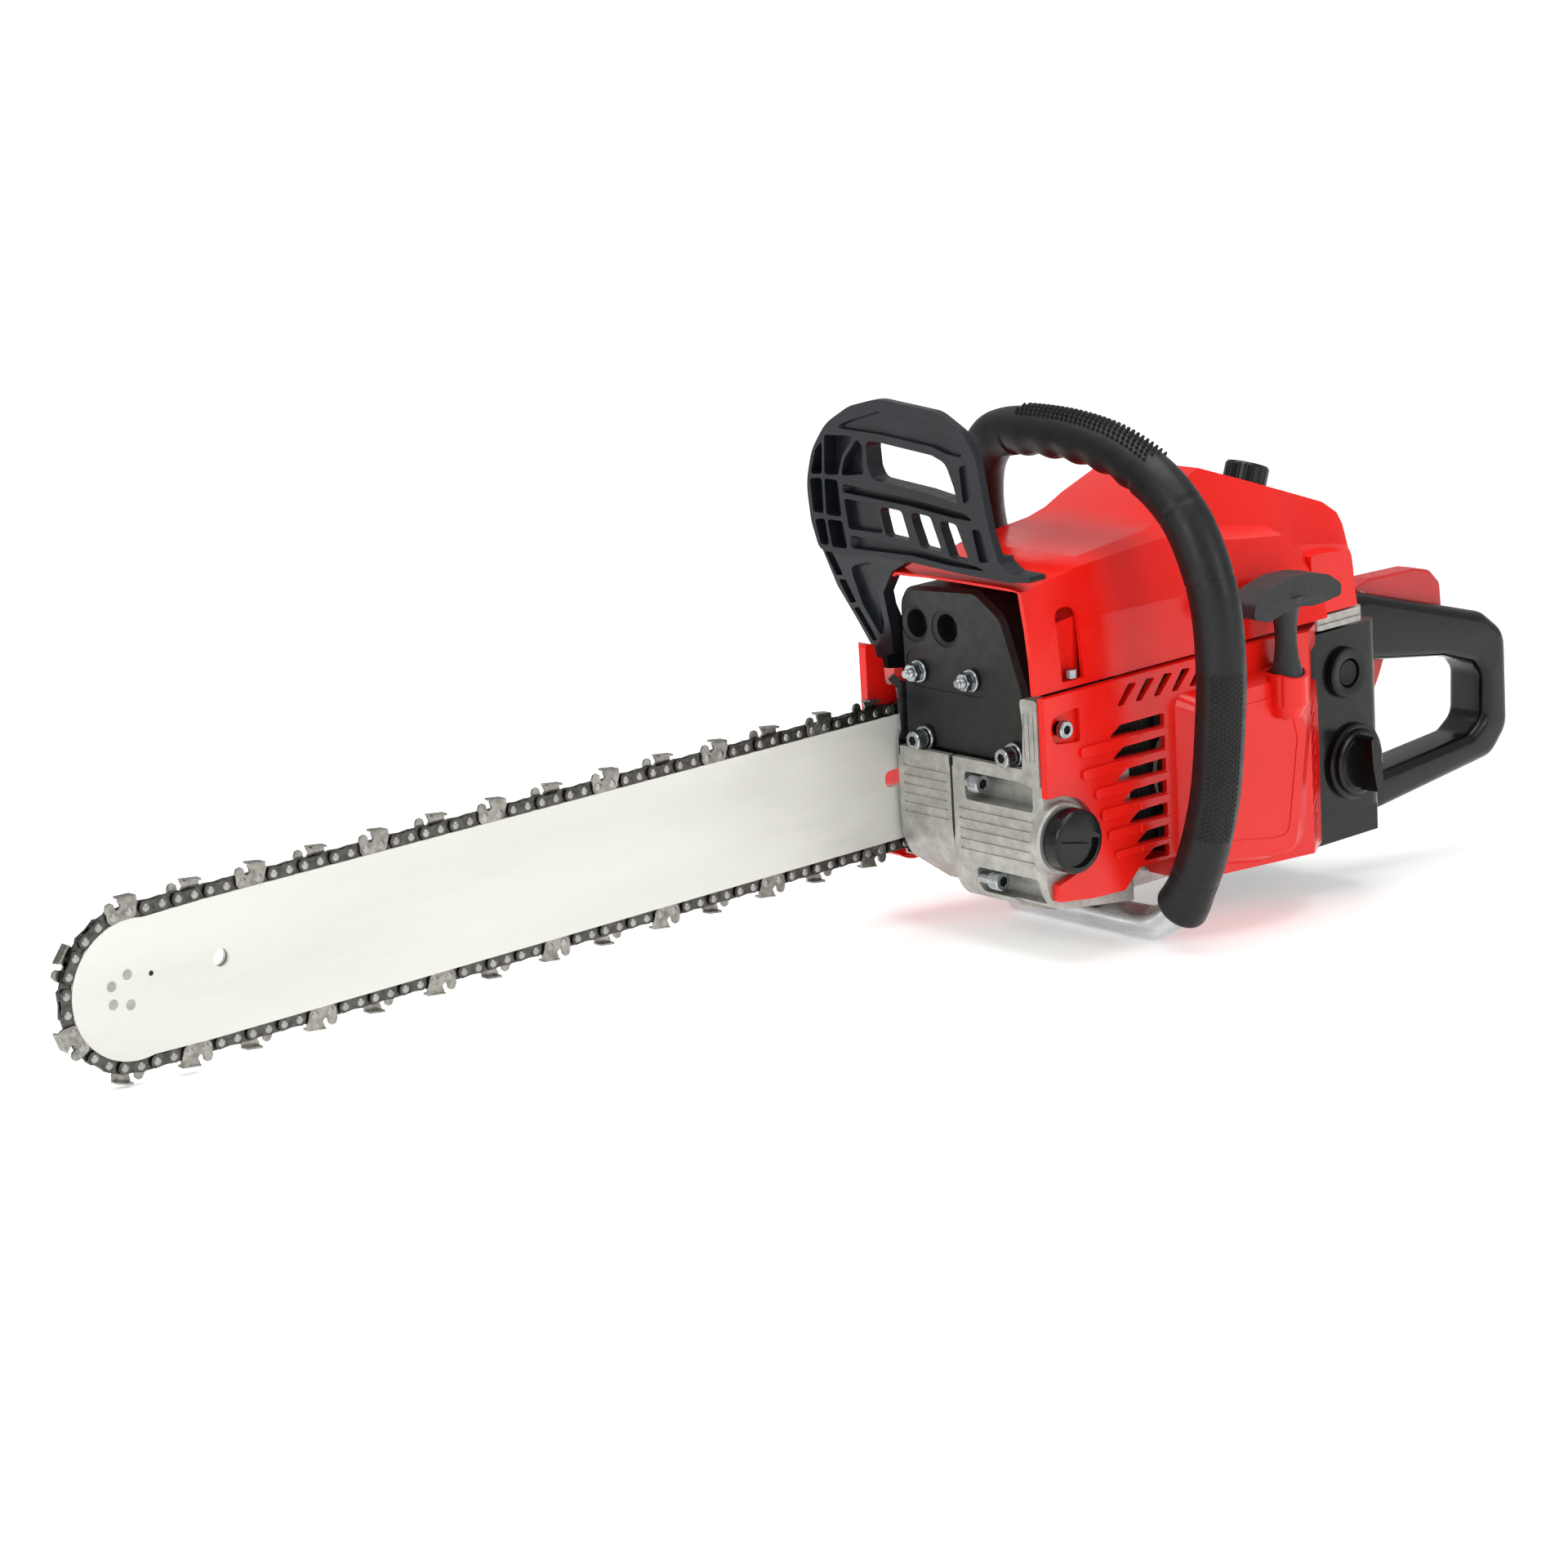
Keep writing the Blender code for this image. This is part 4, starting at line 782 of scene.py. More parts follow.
# %% Hand guard
GUARD_FRONT, GUARD_BACK = -7.0, 3.0
guard_edge = [(36, 110), (41, 124), (43, 142), (38, 159), (27, 173), (9, 183), (-11, 188), (-52, 185),
              (-68, 177), (-76.5, 167), (-80, 148), (-84, 130), (-89, 117), (-96, 112.8), (-109, 112.6),
              (-110, 110), (-96, 108.4)]
guard_lower = [(-64, 109.0), (-26, 111), (-4, 111), (12, 109.0)]
guard_outline = rounded(guard_edge, [6, 20, 30, 30, 30, 30, 30, 20, 12, 25, 30, 30, 6, 5, 1.2, 1.2, 8],
                        4) + guard_lower
windows = [rounded([(-1, 167), (-10, 167), (-47, 164), (-56, 161), (-61, 150), (-63, 142.5), (-38, 146),
                    (-5, 148.5), (-2, 154)], [4, 6, 6, 8, 6, 1.5, 8, 6, 4], 4),
           rounded([(-8.5, 136), (-24, 135.2), (-29.2, 121), (-12.5, 122)], [3, 3, 1.5, 2], 4),
           rounded([(-29.5, 135.6), (-43.8, 134.4), (-51, 118), (-36.5, 119)], [3, 3, 1.5, 2], 4),
           rounded([(-49, 133.8), (-61.2, 132.4), (-69.4, 115.2), (-56.5, 116)], [3, 3, 1.5, 2], 4), ]
POCKET_DEPTH, CHANNEL_DEPTH = 8.0, 4.5
pockets = [([(29.8, 164.8), (31.2, 148), (39.6, 147), (35, 159.5)], POCKET_DEPTH),
           ([(31.5, 146), (31.5, 128.2), (38.8, 128.6), (40.2, 145)], POCKET_DEPTH),
           ([(31, 126), (28.6, 113), (34.8, 113), (38.2, 125.2)], POCKET_DEPTH),
           ([(28, 167.4), (6.5, 168.6), (15.8, 158.4), (19.6, 148.4), (29.4, 147.8)], POCKET_DEPTH),
           ([(29.6, 146), (20.2, 145.8), (18.6, 128), (29.6, 128)], POCKET_DEPTH),
           ([(29.2, 126), (18.4, 126), (15.6, 112.5), (26.6, 112.5)], POCKET_DEPTH),
           ([(4.5, 167.5), (1.2, 164), (1.4, 150.4), (17.6, 148.2), (14.4, 156.8)], 6.5),
           ([(17.5, 144.4), (-30, 142), (-67, 138.4), (-74, 135.0), (-60, 135.4), (-30, 138.2),
             (16.9, 140.2)], CHANNEL_DEPTH), ([(16.4, 137.4), (-5.6, 136.8), (-10.8, 122.8), (13.8, 122.6)],
                                              5.5), ([(13.8, 119.6), (-30, 118), (-74, 113.8), (-80, 112),
                                                      (-56, 112.2), (-30, 114.2), (13.4, 113.2)],
                                                     CHANNEL_DEPTH),
           ([(22, 171.5), (8, 176.5), (-11, 182), (-50, 179.4), (-62.5, 172.5), (-69.5, 164.5),
             (-58, 165.4), (-47, 168.2), (-10, 171)], 2.2), ([(-65, 160), (-70, 162), (-73.5, 148),
                                                              (-67, 141.5)], 2),
           ([(-71.5, 132), (-77.5, 131), (-83, 117), (-76, 115.5)], 2.5), ]
steps = [("-", prism("YZ", window, GUARD_FRONT - 5, GUARD_BACK + 5)) for window in windows]
thin_back = rounded([(16, 137.6), (-68, 134.4), (-78, 111.8), (13, 111.8)], [3, 4, 4, 3], 4)
steps.append(("-", prism("YZ", thin_back, -1.4, GUARD_BACK + 4)))
thin_rim = [(30, 200), (30, 174), (-50, 171), (-64, 160), (-70, 140), (-78, 119), (-120, 119), (-120, 200)]
steps.append(("-", prism("YZ", thin_rim, -2.6, GUARD_BACK + 4)))
for corners, depth in pockets:
    inner = rounded(corners, 1.8, 3)
    middle = sum((Vector(p) for p in inner), Vector((0, 0))) / len(inner)
    bottom = [tuple(middle + (Vector(p) - middle) * 0.95) for p in inner]
    depth = min(depth, 4.0) if middle.y < 137 and middle.x < 16 else depth
    steps.append(("-", prism("YZ", inner, GUARD_FRONT - 0.5, GUARD_FRONT + depth, bottom)))
guard_plate = piece(carve("guard_lattice", prism("YZ", guard_outline, GUARD_FRONT, GUARD_BACK), steps),
                    guard_nylon, "hand_guard", "hand_guard", edge=0.7, segments=3, angle=35)

# %% [markdown]
# The arm carries the guard down to its pivot beside the clutch. Its web leans back as it drops, so
# it is built from two leaning rings, dished in front, with small pockets along its outer rim.

# %% Guard arm
# The arm drops from the guard's right-hand corner to the pivot: a dished web with a rim on both sides.
ARM_LOW = 54.0
arm_front = [(36, 112), (31, 92), (22, 75), (13, ARM_LOW + 2), (2, ARM_LOW + 6), (-1, 72), (-2, 92),
             (-12, 104), (-26, 111)]


def arm_x(z):
    """The web leans back as it drops."""
    return GUARD_FRONT + 1 + (112 - z) * 0.235


web = bmesh.new()
front_ring = [web.verts.new((arm_x(z), y, z)) for y, z in arm_front]
back_ring = [web.verts.new((arm_x(z) + 7, y, z)) for y, z in arm_front]
web.faces.new(front_ring)
web.faces.new(back_ring)
for k in range(len(arm_front)):
    web.faces.new((front_ring[k - 1], front_ring[k], back_ring[k], back_ring[k - 1]))
bmesh.ops.recalc_face_normals(web, faces=web.faces)
dish = [(19, 104), (4, 108), (-12, 108), (-9, 104), (2, 94), (2.5, 76), (7, 66), (16, 84)]
hollow = bmesh.new()
near_ring = [hollow.verts.new((arm_x(z) - 3, y, z)) for y, z in rounded(dish, 5, 3)]
deep_ring = [hollow.verts.new((arm_x(z) + 3.5, y * 0.9 + 0.2, (z - 88) * 0.9 + 88)) for y,
             z in rounded(dish, 5, 3)]
hollow.faces.new(near_ring)
hollow.faces.new(deep_ring)
for k in range(len(near_ring)):
    hollow.faces.new((near_ring[k - 1], near_ring[k], deep_ring[k], deep_ring[k - 1]))
bmesh.ops.recalc_face_normals(hollow, faces=hollow.faces)
outer_pockets = [[(34, 109.5), (28.6, 109.5), (24.6, 98), (29.8, 97.4)],
                 [(28.8, 95.4), (23.6, 95.8), (19.6, 84.6), (24.2, 83.6)],
                 [(22.8, 81.4), (18.6, 82.2), (10.6, 66), (14.2, 65)]]
arm_steps = [("-", hollow)] + [("-", prism("YZ", rounded(p, 1, 2), -12, arm_x(p[2][1]) + 5))
                               for p in outer_pockets]
side_arm = prism("XZ", [(0, 104), (8, 100), (20, 74), (39, 61), (41, 52), (33, 47.5), (8.5, 51.5), (5, 80)],
                 8, 15.4)
arm_steps += [("+", side_arm), ("+", drum("Y", (36, 7.5, 54), 8.4, 7.4)),
              ("-", drum("Y", (36, 0, 54), 30, 3.3))]
piece(carve("guard_arm", web, arm_steps), guard_nylon, "hand_guard", edge=0.7, segments=3, angle=35)

# %% [markdown]
# ## The front handle
# A bent aluminium tube carries the saw. It runs flat under the crankcase, round the left side and
# over the top, and a rubber sleeve is moulded over it where the hand goes: finger bumps under the
# top, studs above, and a diamond pattern down the side.

# %% Handle line
HANDLE_X = 75.0
side_points = [(-92, -75), (-106, -72), (-118, -64), (-128, -48), (-137, -27), (-144.5, 0), (-149, 35),
               (-150.5, 60), (-149, 85), (-144, 104), (-133.5, 125.5), (-119, 140.5), (-103, 150),
               (-86, 156.5), (-68, 160), (-50, 161.5), (-30, 161.5), (-15, 160), (-3, 155)]
rear_points = [(79, 10, 140), (88, 21, 116), (102, 30, 90), (120, 36, 64), (136, 39, 49)]
handle_line = [Vector((HANDLE_X, y, z)) for y, z in side_points] + [Vector(p) for p in rear_points]
handle_line = smooth_line(handle_line, 8)

# %% [markdown]
# A tube whose radius may change with distance and direction covers the bare tube, the rubber sleeve
# and later the rope. The line is first split finer, so that seams and bumps come out crisp.

# %% A tube along a line


def pipe(line, radius_at, sides=40):
    """A tube along a line; radius_at(k, angle) shapes it, angle 0 facing out of the handle's loop."""
    shape = bmesh.new()
    rings = []
    for k, here in enumerate(line):
        along = (line[min(k + 1, len(line) - 1)] - line[max(k - 1, 0)]).normalized()
        level = Vector((1, 0, 0))
        outward = level.cross(along).normalized()
        level = outward.cross(along).normalized()
        ring = []
        for n in range(sides):
            angle = 2 * math.pi * n / sides
            reach = radius_at(k, angle)
            ring.append(shape.verts.new(here + (outward * math.cos(angle)
                                                + level * math.sin(angle)) * reach))
        rings.append(ring)
    for one, two in zip(rings, rings[1:]):
        for n in range(sides):
            shape.faces.new((one[n - 1], one[n], two[n], two[n - 1]))
    shape.faces.new(rings[0])
    shape.faces.new(rings[-1])
    bmesh.ops.recalc_face_normals(shape, faces=shape.faces)
    return shape


handle_line = [spot for one, two in zip(handle_line, handle_line[1:])
               for spot in (one, (one + two) / 2)] + handle_line[-1:]
travel = [0.0]
for one, two in zip(handle_line, handle_line[1:]):
    travel.append(travel[-1] + (two - one).length)
GRIP_END = travel[-1]
BUMP_FROM, BUMP_TO, BUMPS = 262.0, 352.0, 5
GRIP_RADIUS = 12.0
SEAMS = (52.0, 200.0, 236.0)
first = next(k for k, at in enumerate(travel) if at > 28)

# %% [markdown]
# The sleeve is 24 mm thick, with finger bumps under the top stretch, fine mould seams across it and
# a swelling at its lower end that stops the hand from slipping off.

# %% Rubber sleeve


def grip_radius(k, angle):
    """Round, with finger bumps on the inner side of the top and a swelling at the lower end."""
    at = travel[k + first]
    reach = GRIP_RADIUS
    if BUMP_FROM < at < BUMP_TO:
        wave = math.cos(2 * math.pi * BUMPS * (at - BUMP_FROM) / (BUMP_TO - BUMP_FROM))
        reach += max(0.0, -math.cos(angle)) * (1.6 * (1 - wave) / 2 - 1.4)
    if any(abs(at - seam) < 0.8 for seam in SEAMS):
        reach -= 0.45
    reach += 1.3 * max(0.0, 1 - (at - travel[first]) / 14)
    ends = min(k, len(travel) - 1 - first - k)
    return reach - (1.5, 0.5, 0.1)[ends] if ends < 3 else reach


print("handle length", round(GRIP_END), "mm")
grip = to_object("grip_sleeve", pipe(handle_line[first:], grip_radius))
piece(grip, grip_rubber, "powerhead", "front_handle_grip", angle=60)

# %% [markdown]
# The grip's studs are small blunt pyramids that follow the curve. They are set out in staggered rows
# from a distance along the handle and an angle round it.

# %% Studs


def on_handle(distance, angle, height):
    """A point on the sleeve's skin and its outward direction."""
    k = min(range(len(travel)), key=lambda i: abs(travel[i] - distance))
    k = min(max(k, 1), len(travel) - 2)
    here = handle_line[k]
    along = (handle_line[k + 1] - handle_line[k - 1]).normalized()
    here = here + along * (distance - travel[k])
    outward = Vector((1, 0, 0)).cross(along).normalized()
    level = outward.cross(along).normalized()
    away = outward * math.cos(angle) + level * math.sin(angle)
    return here + away * height, away, along


def stud(place, away, along, foot, top, tall, sides=6):
    """A small blunt pyramid standing on the skin."""
    across = away.cross(along).normalized()
    turn = Matrix((along, across, away)).transposed().to_4x4()
    shape = bmesh.new()
    bmesh.ops.create_cone(shape, cap_ends=True, segments=sides, radius1=foot, radius2=top, depth=tall)
    return moved(shape, Matrix.Translation(place + away * (tall / 2)) @ turn)


studs = []
PAD_TOP = (262.0, 346.0)
PAD_SIDE = (76.0, 158.0)
TOP_ROWS, TOP_STUDS = 7, 29
SIDE_ROWS, SIDE_STUDS = 9, 32
for row in range(TOP_ROWS):
    angle = math.radians(-36 + 72 * row / (TOP_ROWS - 1))
    for n in range(TOP_STUDS):
        at = PAD_TOP[0] + (PAD_TOP[1] - PAD_TOP[0]) * (n + 0.5 * (row % 2)) / TOP_STUDS
        place, away, along = on_handle(at, angle, GRIP_RADIUS - 0.2)
        studs.append(stud(place, away, along, 1.1, 0.5, 1.9, 8))
for row in range(SIDE_ROWS):
    angle = math.radians(-6 + 76 * row / (SIDE_ROWS - 1))
    for n in range(SIDE_STUDS):
        at = PAD_SIDE[0] + (PAD_SIDE[1] - PAD_SIDE[0]) * (n + 0.5 * (row % 2)) / SIDE_STUDS
        place, away, along = on_handle(at, angle, GRIP_RADIUS - 0.2)
        studs.append(stud(place, away, along, 1.5, 0.8, 0.7, 4))
piece(to_object("grip_studs", merge(*studs)), grip_rubber, "powerhead", edge=0.2, segments=1)

# %% [markdown]
# Where the saw is set down, the tube is bare and pressed slightly flat. It is open at its right-hand
# end and bends up again at the back to its screwed foot.

# %% Bare tube
# The tube shows only under the crankcase, where it is pressed flatter, and at the sleeve's ends.
TUBE_RADIUS = 8.9
under = [Vector((HANDLE_X, y, z)) for y, z in ((-8, -74.6), (-50, -74.6), (-92, -74.6), (-106, -72),
                                               (-118, -64), (-123, -56))]
under = smooth_line(under, 12)
under_tube = pipe(under, lambda k, angle: TUBE_RADIUS * (1 - 0.04 * math.cos(angle) ** 2), 48)
hollow_end = drum("Y", (HANDLE_X, -30, -75), 40, 7.2, sides=40)
tube = carve("handle_tube", under_tube, [("-", hollow_end)])
piece(tube, bright_aluminium, "powerhead", "front_handle_tube", angle=50)
foot = [handle_line[-1] - Vector((1, 0, -1)), Vector((146, 40, 41.5)), Vector((158, 40.5, 34))]
piece(to_object("handle_tube_foot", pipe(foot, lambda k, angle: TUBE_RADIUS, 40)), bright_aluminium,
      "powerhead", angle=50)

# %% [markdown]
# ## The cylinder cover
# The red cover carries cooling air over the fins, so it is a deep thin shell, open in front behind
# the guard. Its flanks lean in, its top is a flat visor, and a narrower hump covers the air filter.

# %% Cylinder cover
# Each station is a slice across the saw: (distance back, points from the near bottom edge over the top).
cover_slices = [(-2.5, [(-104.5, 54.4), (-103, 70), (-101, 86), (-98, 103.2), (-90, 104.2), (-60, 104.4),
                        (-32, 104.2), (-12, 103.6), (-9, 100), (-8, 80), (-8, 66), (-8, 54.4)]),
                (6, [(-104.6, 54.4), (-103.4, 70), (-101.6, 85.5), (-98, 104.6), (-90, 106.8), (-60, 107.2),
                     (-32, 107), (-12, 106), (-9, 101), (-8, 80), (-8, 66), (-8, 54.4)]),
                (43.8, [(-104.8, 54.4), (-104.2, 70), (-103, 84.8), (-95, 108.6), (-88, 111.2),
                        (-60, 111.2), (-32, 111), (-12, 110), (-9, 104), (-8, 82), (-8, 66), (-8, 54.4)]),
                (44.2, [(-104.8, 54.4), (-104.2, 70), (-103, 84.8), (-95, 108.6), (-88, 111.2),
                        (-60, 111.2), (-30, 111), (-9, 109.5), (3, 103), (9, 84), (12, 66), (13.6, 54.4)]),
                (96, [(-104.8, 54.4), (-104.6, 68), (-104, 84), (-92, 110.8), (-84, 114.9), (-60, 114.9),
                      (-30, 114.8), (-4, 113), (5, 104), (9.5, 84), (12, 66), (13.6, 54.4)]),
                (108, [(-104.8, 54.4), (-104.4, 68), (-103, 84), (-93, 111.5), (-81, 117.6), (-60, 119.5),
                       (-30, 119.3), (-4, 116), (5, 105), (9.5, 84), (12, 66), (13.6, 54.4)]),
                (122, [(-104.8, 54.4), (-104, 68), (-101.5, 84), (-93, 107), (-78, 118), (-70, 125.5),
                       (-30, 125.2), (-2, 121), (2.5, 108), (9.5, 84), (12, 66), (13.6, 54.4)]),
                (147, [(-104.6, 54.4), (-103.4, 68), (-100, 82), (-93, 102), (-80, 108), (-72, 135.6),
                       (-36, 135.2), (-4, 131), (1.5, 110), (9.5, 84), (12, 66), (13.6, 54.4)]),
                (183, [(-104.4, 54.4), (-102.4, 68), (-98.5, 80), (-93, 98), (-81, 102), (-72.2, 123.0),
                       (-36, 123.2), (-4, 121), (1.5, 106), (9.5, 82), (12, 66), (13.6, 54.4)]),
                (202, [(-104.2, 54.4), (-101, 66), (-96, 76), (-91.5, 83), (-81, 92), (-72.5, 116.2),
                       (-36, 116.4), (-4, 115), (1.5, 102), (9.5, 80), (12, 66), (13.6, 54.4)]),
                (206, [(-93, 54.4), (-92, 66), (-90.5, 76), (-88.5, 81), (-80.5, 88), (-72.6, 114.8),
                       (-36, 115), (-4, 114), (1.5, 102), (9.5, 80), (12, 66), (13.6, 54.4)]),
                (235, [(-92, 54.4), (-91, 64), (-89.5, 72), (-87, 78.5), (-79.5, 83.5), (-73, 104.2),
                       (-36, 104.6), (-4, 104), (1.5, 96), (9.5, 78), (12, 66), (13.6, 54.4)]),
                (244.5, [(-91, 54.4), (-90, 63), (-88, 70), (-85.5, 76), (-79, 81.5), (-74, 97.5),
                         (-36, 98.4), (-4, 98), (1, 90), (8.5, 75), (11, 64), (12.6, 54.4)]),
                (247.6, [(-90, 54.4), (-89, 62), (-87, 68.5), (-84, 74), (-78.6, 79), (-75, 91), (-36, 93),
                         (-4, 92.6), (0, 85), (7, 73), (10, 63), (11.5, 54.4)]), ]

# %% [markdown]
# A cover with leaning, changing walls is easiest as a loft: slices across it, joined in order. The
# same slices moved in by the wall make the hollow.

# %% Lofting and hollowing


def skin(slices):
    """A closed shape lofted through slices that all have the same number of points."""
    shape = bmesh.new()
    rings = [[shape.verts.new((x, y, z)) for y, z in points] for x, points in slices]
    for one, two in zip(rings, rings[1:]):
        for k in range(len(one)):
            shape.faces.new((one[k - 1], one[k], two[k], two[k - 1]))
    shape.faces.new(rings[0])
    shape.faces.new(rings[-1])
    bmesh.ops.recalc_face_normals(shape, faces=shape.faces)
    return shape


COVER_WALL = 2.5


def shrunk(slices, wall):
    """The same slices moved in by the wall, for the hollow inside; open below."""
    inner = []
    for x, points in slices:
        middle_y = (points[0][0] + points[-1][0]) / 2
        ring = []
        for k, (y, z) in enumerate(points):
            before, after = points[max(k - 1, 0)], points[min(k + 1, len(points) - 1)]
            along = Vector((after[0] - before[0], after[1] - before[1])).normalized()
            inward = Vector((along.y, -along.x))
            ring.append((y + inward.x * wall, max(z + inward.y * wall,
                                                  40 if k in (0, len(points) - 1) else 0)))
        ring[0] = (ring[0][0], 45)
        ring[-1] = (ring[-1][0], 45)
        inner.append((x, ring))
    inner[0] = (inner[0][0] - 8, inner[0][1])
    end = [(y * 0.97 - 1, z - 1.5) for y, z in inner[-1][1]]
    return [*inner[:-3], (224, inner[-3][1]), (232, end)]


latch_edge = rounded([(200.5, 54.4), (199.5, 85.5), (228.5, 83.5), (233, 54.4)], [1, 3, 4, 1], 5)
latch = prism("XZ", latch_edge, -96.4, -80)
cover_steps = [("+", latch), ("-", skin(shrunk(cover_slices, COVER_WALL)))]
cover_steps.append(("-", brick((-20, -14.5, 40), (43.9, 5, 101.4))))
rear_corner = [(233.2, -100), (233.2, -96.5), (249.5, -76), (262, -76), (262, -100)]
cover_steps.append(("-", prism("XY", rear_corner, 40, 120)))
channel = rounded([(15.5, 57.5), (30, 57.5), (30, 92), (15.5, 92)], [0.6, 0.6, 7, 7], 8)
cover_steps.append(("-", prism("XZ", channel, -120, -99.4)))
cover = piece(carve("cylinder_shroud", skin(cover_slices), cover_steps), red_abs, "powerhead",
              "cylinder_cover", edge=1.4, segments=4, angle=18)
plug = prism("XZ", [(14, 56.5), (31.5, 56.5), (31.5, 94), (14, 94)], -99.4, -97.4)
piece(to_object("screw_channel_back", plug), red_abs, "powerhead")

# %% [markdown]
# Under the hump a flat pad of felt cleans the engine's air. It shows only with the cover off.

# %% Filter pad
# The filter's felt pad sits inside the hump, clear of the cover's wall.
low, high = (TO_FRAME.inverted() @ Vector(corner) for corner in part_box("air_filter"))
FILTER_GAP = Vector((4, 5, 3))
pad = brick(low + FILTER_GAP, high - FILTER_GAP)
piece(to_object("filter_pad", pad), felt, "powerhead", "air_filter", edge=2.0)

# %% [markdown]
# ## The starter cover
# This cover is also the fan's grille: six louvers throw the cooling air's intake downwards and
# keep chips out. The recoil spring and rope live behind the raised panel at the rear.

# %% Starter cover
COVER_FACE = -108.5
PANEL_FACE = -117.9
cover_edge = [(-1, 53.2), (-1, 5), (8, 5), *arc((9, -16), 20, 80, -80, 14), (4, -38), (4, -46), (26, -49),
              (48, -50), (58, -41), (88, -41), (94, -56), (205, -63), (205, 8), (201, 20), (199, 30),
              (202, 42), (205, 50), (150, 53.2)]
starter_body = prism("XZ", cover_edge, COVER_FACE, -79.5)
panel_foot = rounded([(86, 38.5), (85, -48.5), (139, -57), (176, -58), (185, 12), (180, 28), (180, 40)],
                     [8, 8, 20, 10, 16, 14, 6], 6)
panel_top = rounded([(91, 34.5), (90.5, -44.5), (140, -52), (159, -53), (169, 6), (163, 22), (161, 34.5)],
                    [7, 7, 20, 10, 16, 14, 6], 6)
panel = prism("XZ", panel_foot, COVER_FACE + 1, PANEL_FACE, panel_top)
rope_guide = lathe("Z", (155, -118.5, 0), [(0, 16), (7.6, 16), (10.4, 22), (10.4, 37.4), (9.8, 38.4),
                                           (0, 38.4)], 56)
starter_steps = [("+", panel), ("+", rope_guide)]
starter_steps.append(("-", brick((-10, -104.3, -70), (60.3, -60, 60))))
starter_steps.append(("-", prism("XZ", [(60, 50.5), (60, -38.5), (93, -38.5), (97, -53), (184, -59),
                                        (184, 48), (150, 50.5)], -105.6, -70)))
rear_chamfer = [(181.5, -109.2), (206, -92.5), (220, -92.5), (220, -130), (181.5, -130)]
starter_steps.append(("-", prism("XY", rear_chamfer, -80, 70)))
waist = [(182.5, -110.5), (199, -93), (220, -93), (220, -130), (182.5, -130)]
starter_steps.append(("-", prism("XY", waist, 22, 40)))
panel_hollow = [(93.5, 32), (93, -42), (140, -49.5), (156, -49.5), (158, 32)]
starter_steps.append(("-", prism("XZ", panel_hollow, -115.2, -104)))
# The top of the cover slopes in towards the engine.
slope = moved(brick((-20, -40, 0), (84, 0, 60)), leaned((0, COVER_FACE, 37), "X", 14))
slope_rear = moved(brick((84, -40, 0), (230, 0, 60)), leaned((0, COVER_FACE, 44), "X", 22))
starter_steps += [("-", slope), ("-", slope_rear)]

# %% [markdown]
# Seven slots let the fan's air in, and a second row leans back along the top. They are cut through
# the wall, together with the screw's recess, the rope's mouth and the vents down the rear edge.

# %% Openings
# Openings between the louvers: six rows, stepping in at the lower left to follow the oil cap.
opening_rows = [(31.2, 40.0), (20.2, 41.5), (9.2, 43.5), (-1.8, 47.0), (-12.8, 51.0), (-23.8, 55.5),
                (-33.2, 60.0)]
for z, left in opening_rows:
    slot = rounded([(left + 9, z), (left, z - 5.2), (79, z - 6.4), (79, z)], [1, 1.2, 1.5, 1.5], 4)
    starter_steps.append(("-", prism("XZ", slot, COVER_FACE - 3, -100)))
for k in range(6):
    x = 47 + 12.4 * k
    slot = [(x, 40.2), (x + 4.6, 40.2), (x + 14.5, 49.6), (x + 8.2, 50)]
    starter_steps.append(("-", prism("XZ", rounded(slot, 0.9, 3), COVER_FACE - 3, -97)))
recess = rounded([(3, 30.5), (22, 28.5), (22, 45.5), (3, 43.5)], [6, 2, 2, 6], 5)
starter_steps.append(("-", prism("XZ", recess, COVER_FACE - 4, COVER_FACE + 2.6)))
starter_steps.append(("-", drum("Y", (10, -112, 37), 20, 3.4, sides=32)))
starter_steps.append(("-", drum("Y", (62.5, -112, -46), 20, 4.6, sides=32)))
starter_steps.append(("-", lathe("Z", (155, -118.5, 20), [(0, 20), (9.2, 20), (9.0, 18), (8.6, 12.6),
                                                          (2.6, 11.4), (2.6, -6), (0, -6)], 48)))
for k in range(10):
    z = 13 - 7.4 * k
    vent = [(183, z - 3), (197, z + 7.5), (197, z + 4.4), (183, z - 6.1)]
    starter_steps.append(("-", prism("XZ", vent, -119, -100.5)))
for k in range(9):
    x = 108 + 10 * k
    starter_steps.append(("-", brick((x, -120, -70), (x + 3.2, -99, -58.8 - 0.02 * x))))
starter_shell = piece(carve("starter_shell", starter_body, starter_steps), red_abs, "powerhead",
                      "starter_cover", edge=0.9, segments=3, angle=16)

# %% [markdown]
# Each slot has a blade that overlaps the next, like roof tiles, and a dark screen behind them stops
# leaves from reaching the fan.

# %% Louver blades and fan screen
# The louver blades stand a little proud and lean, each with an elbow where it meets the panel.
blades = []
for k, (z, left) in enumerate(opening_rows[:-1]):
    low = z - 11
    top = opening_rows[k + 1][0]
    blade_start = max(21, left - 20 + (k > 1) * 6)
    blade = [(blade_start, z - 5.6), (79.6, z - 6.7), (79.6, top + 0.3), (blade_start, top + 0.3)]
    blades.append(prism("XZ", rounded(blade, [2.4, 1.2, 1.2, 2.4], 4), COVER_FACE - 1.7, COVER_FACE + 1.5))
    blades.append(brick((58.5, COVER_FACE - 2.2, top + 0.4), (61.5, COVER_FACE, z - 6.6)))
piece(to_object("louver_blades", merge(*blades)), red_abs, "powerhead", edge=0.8, segments=3)
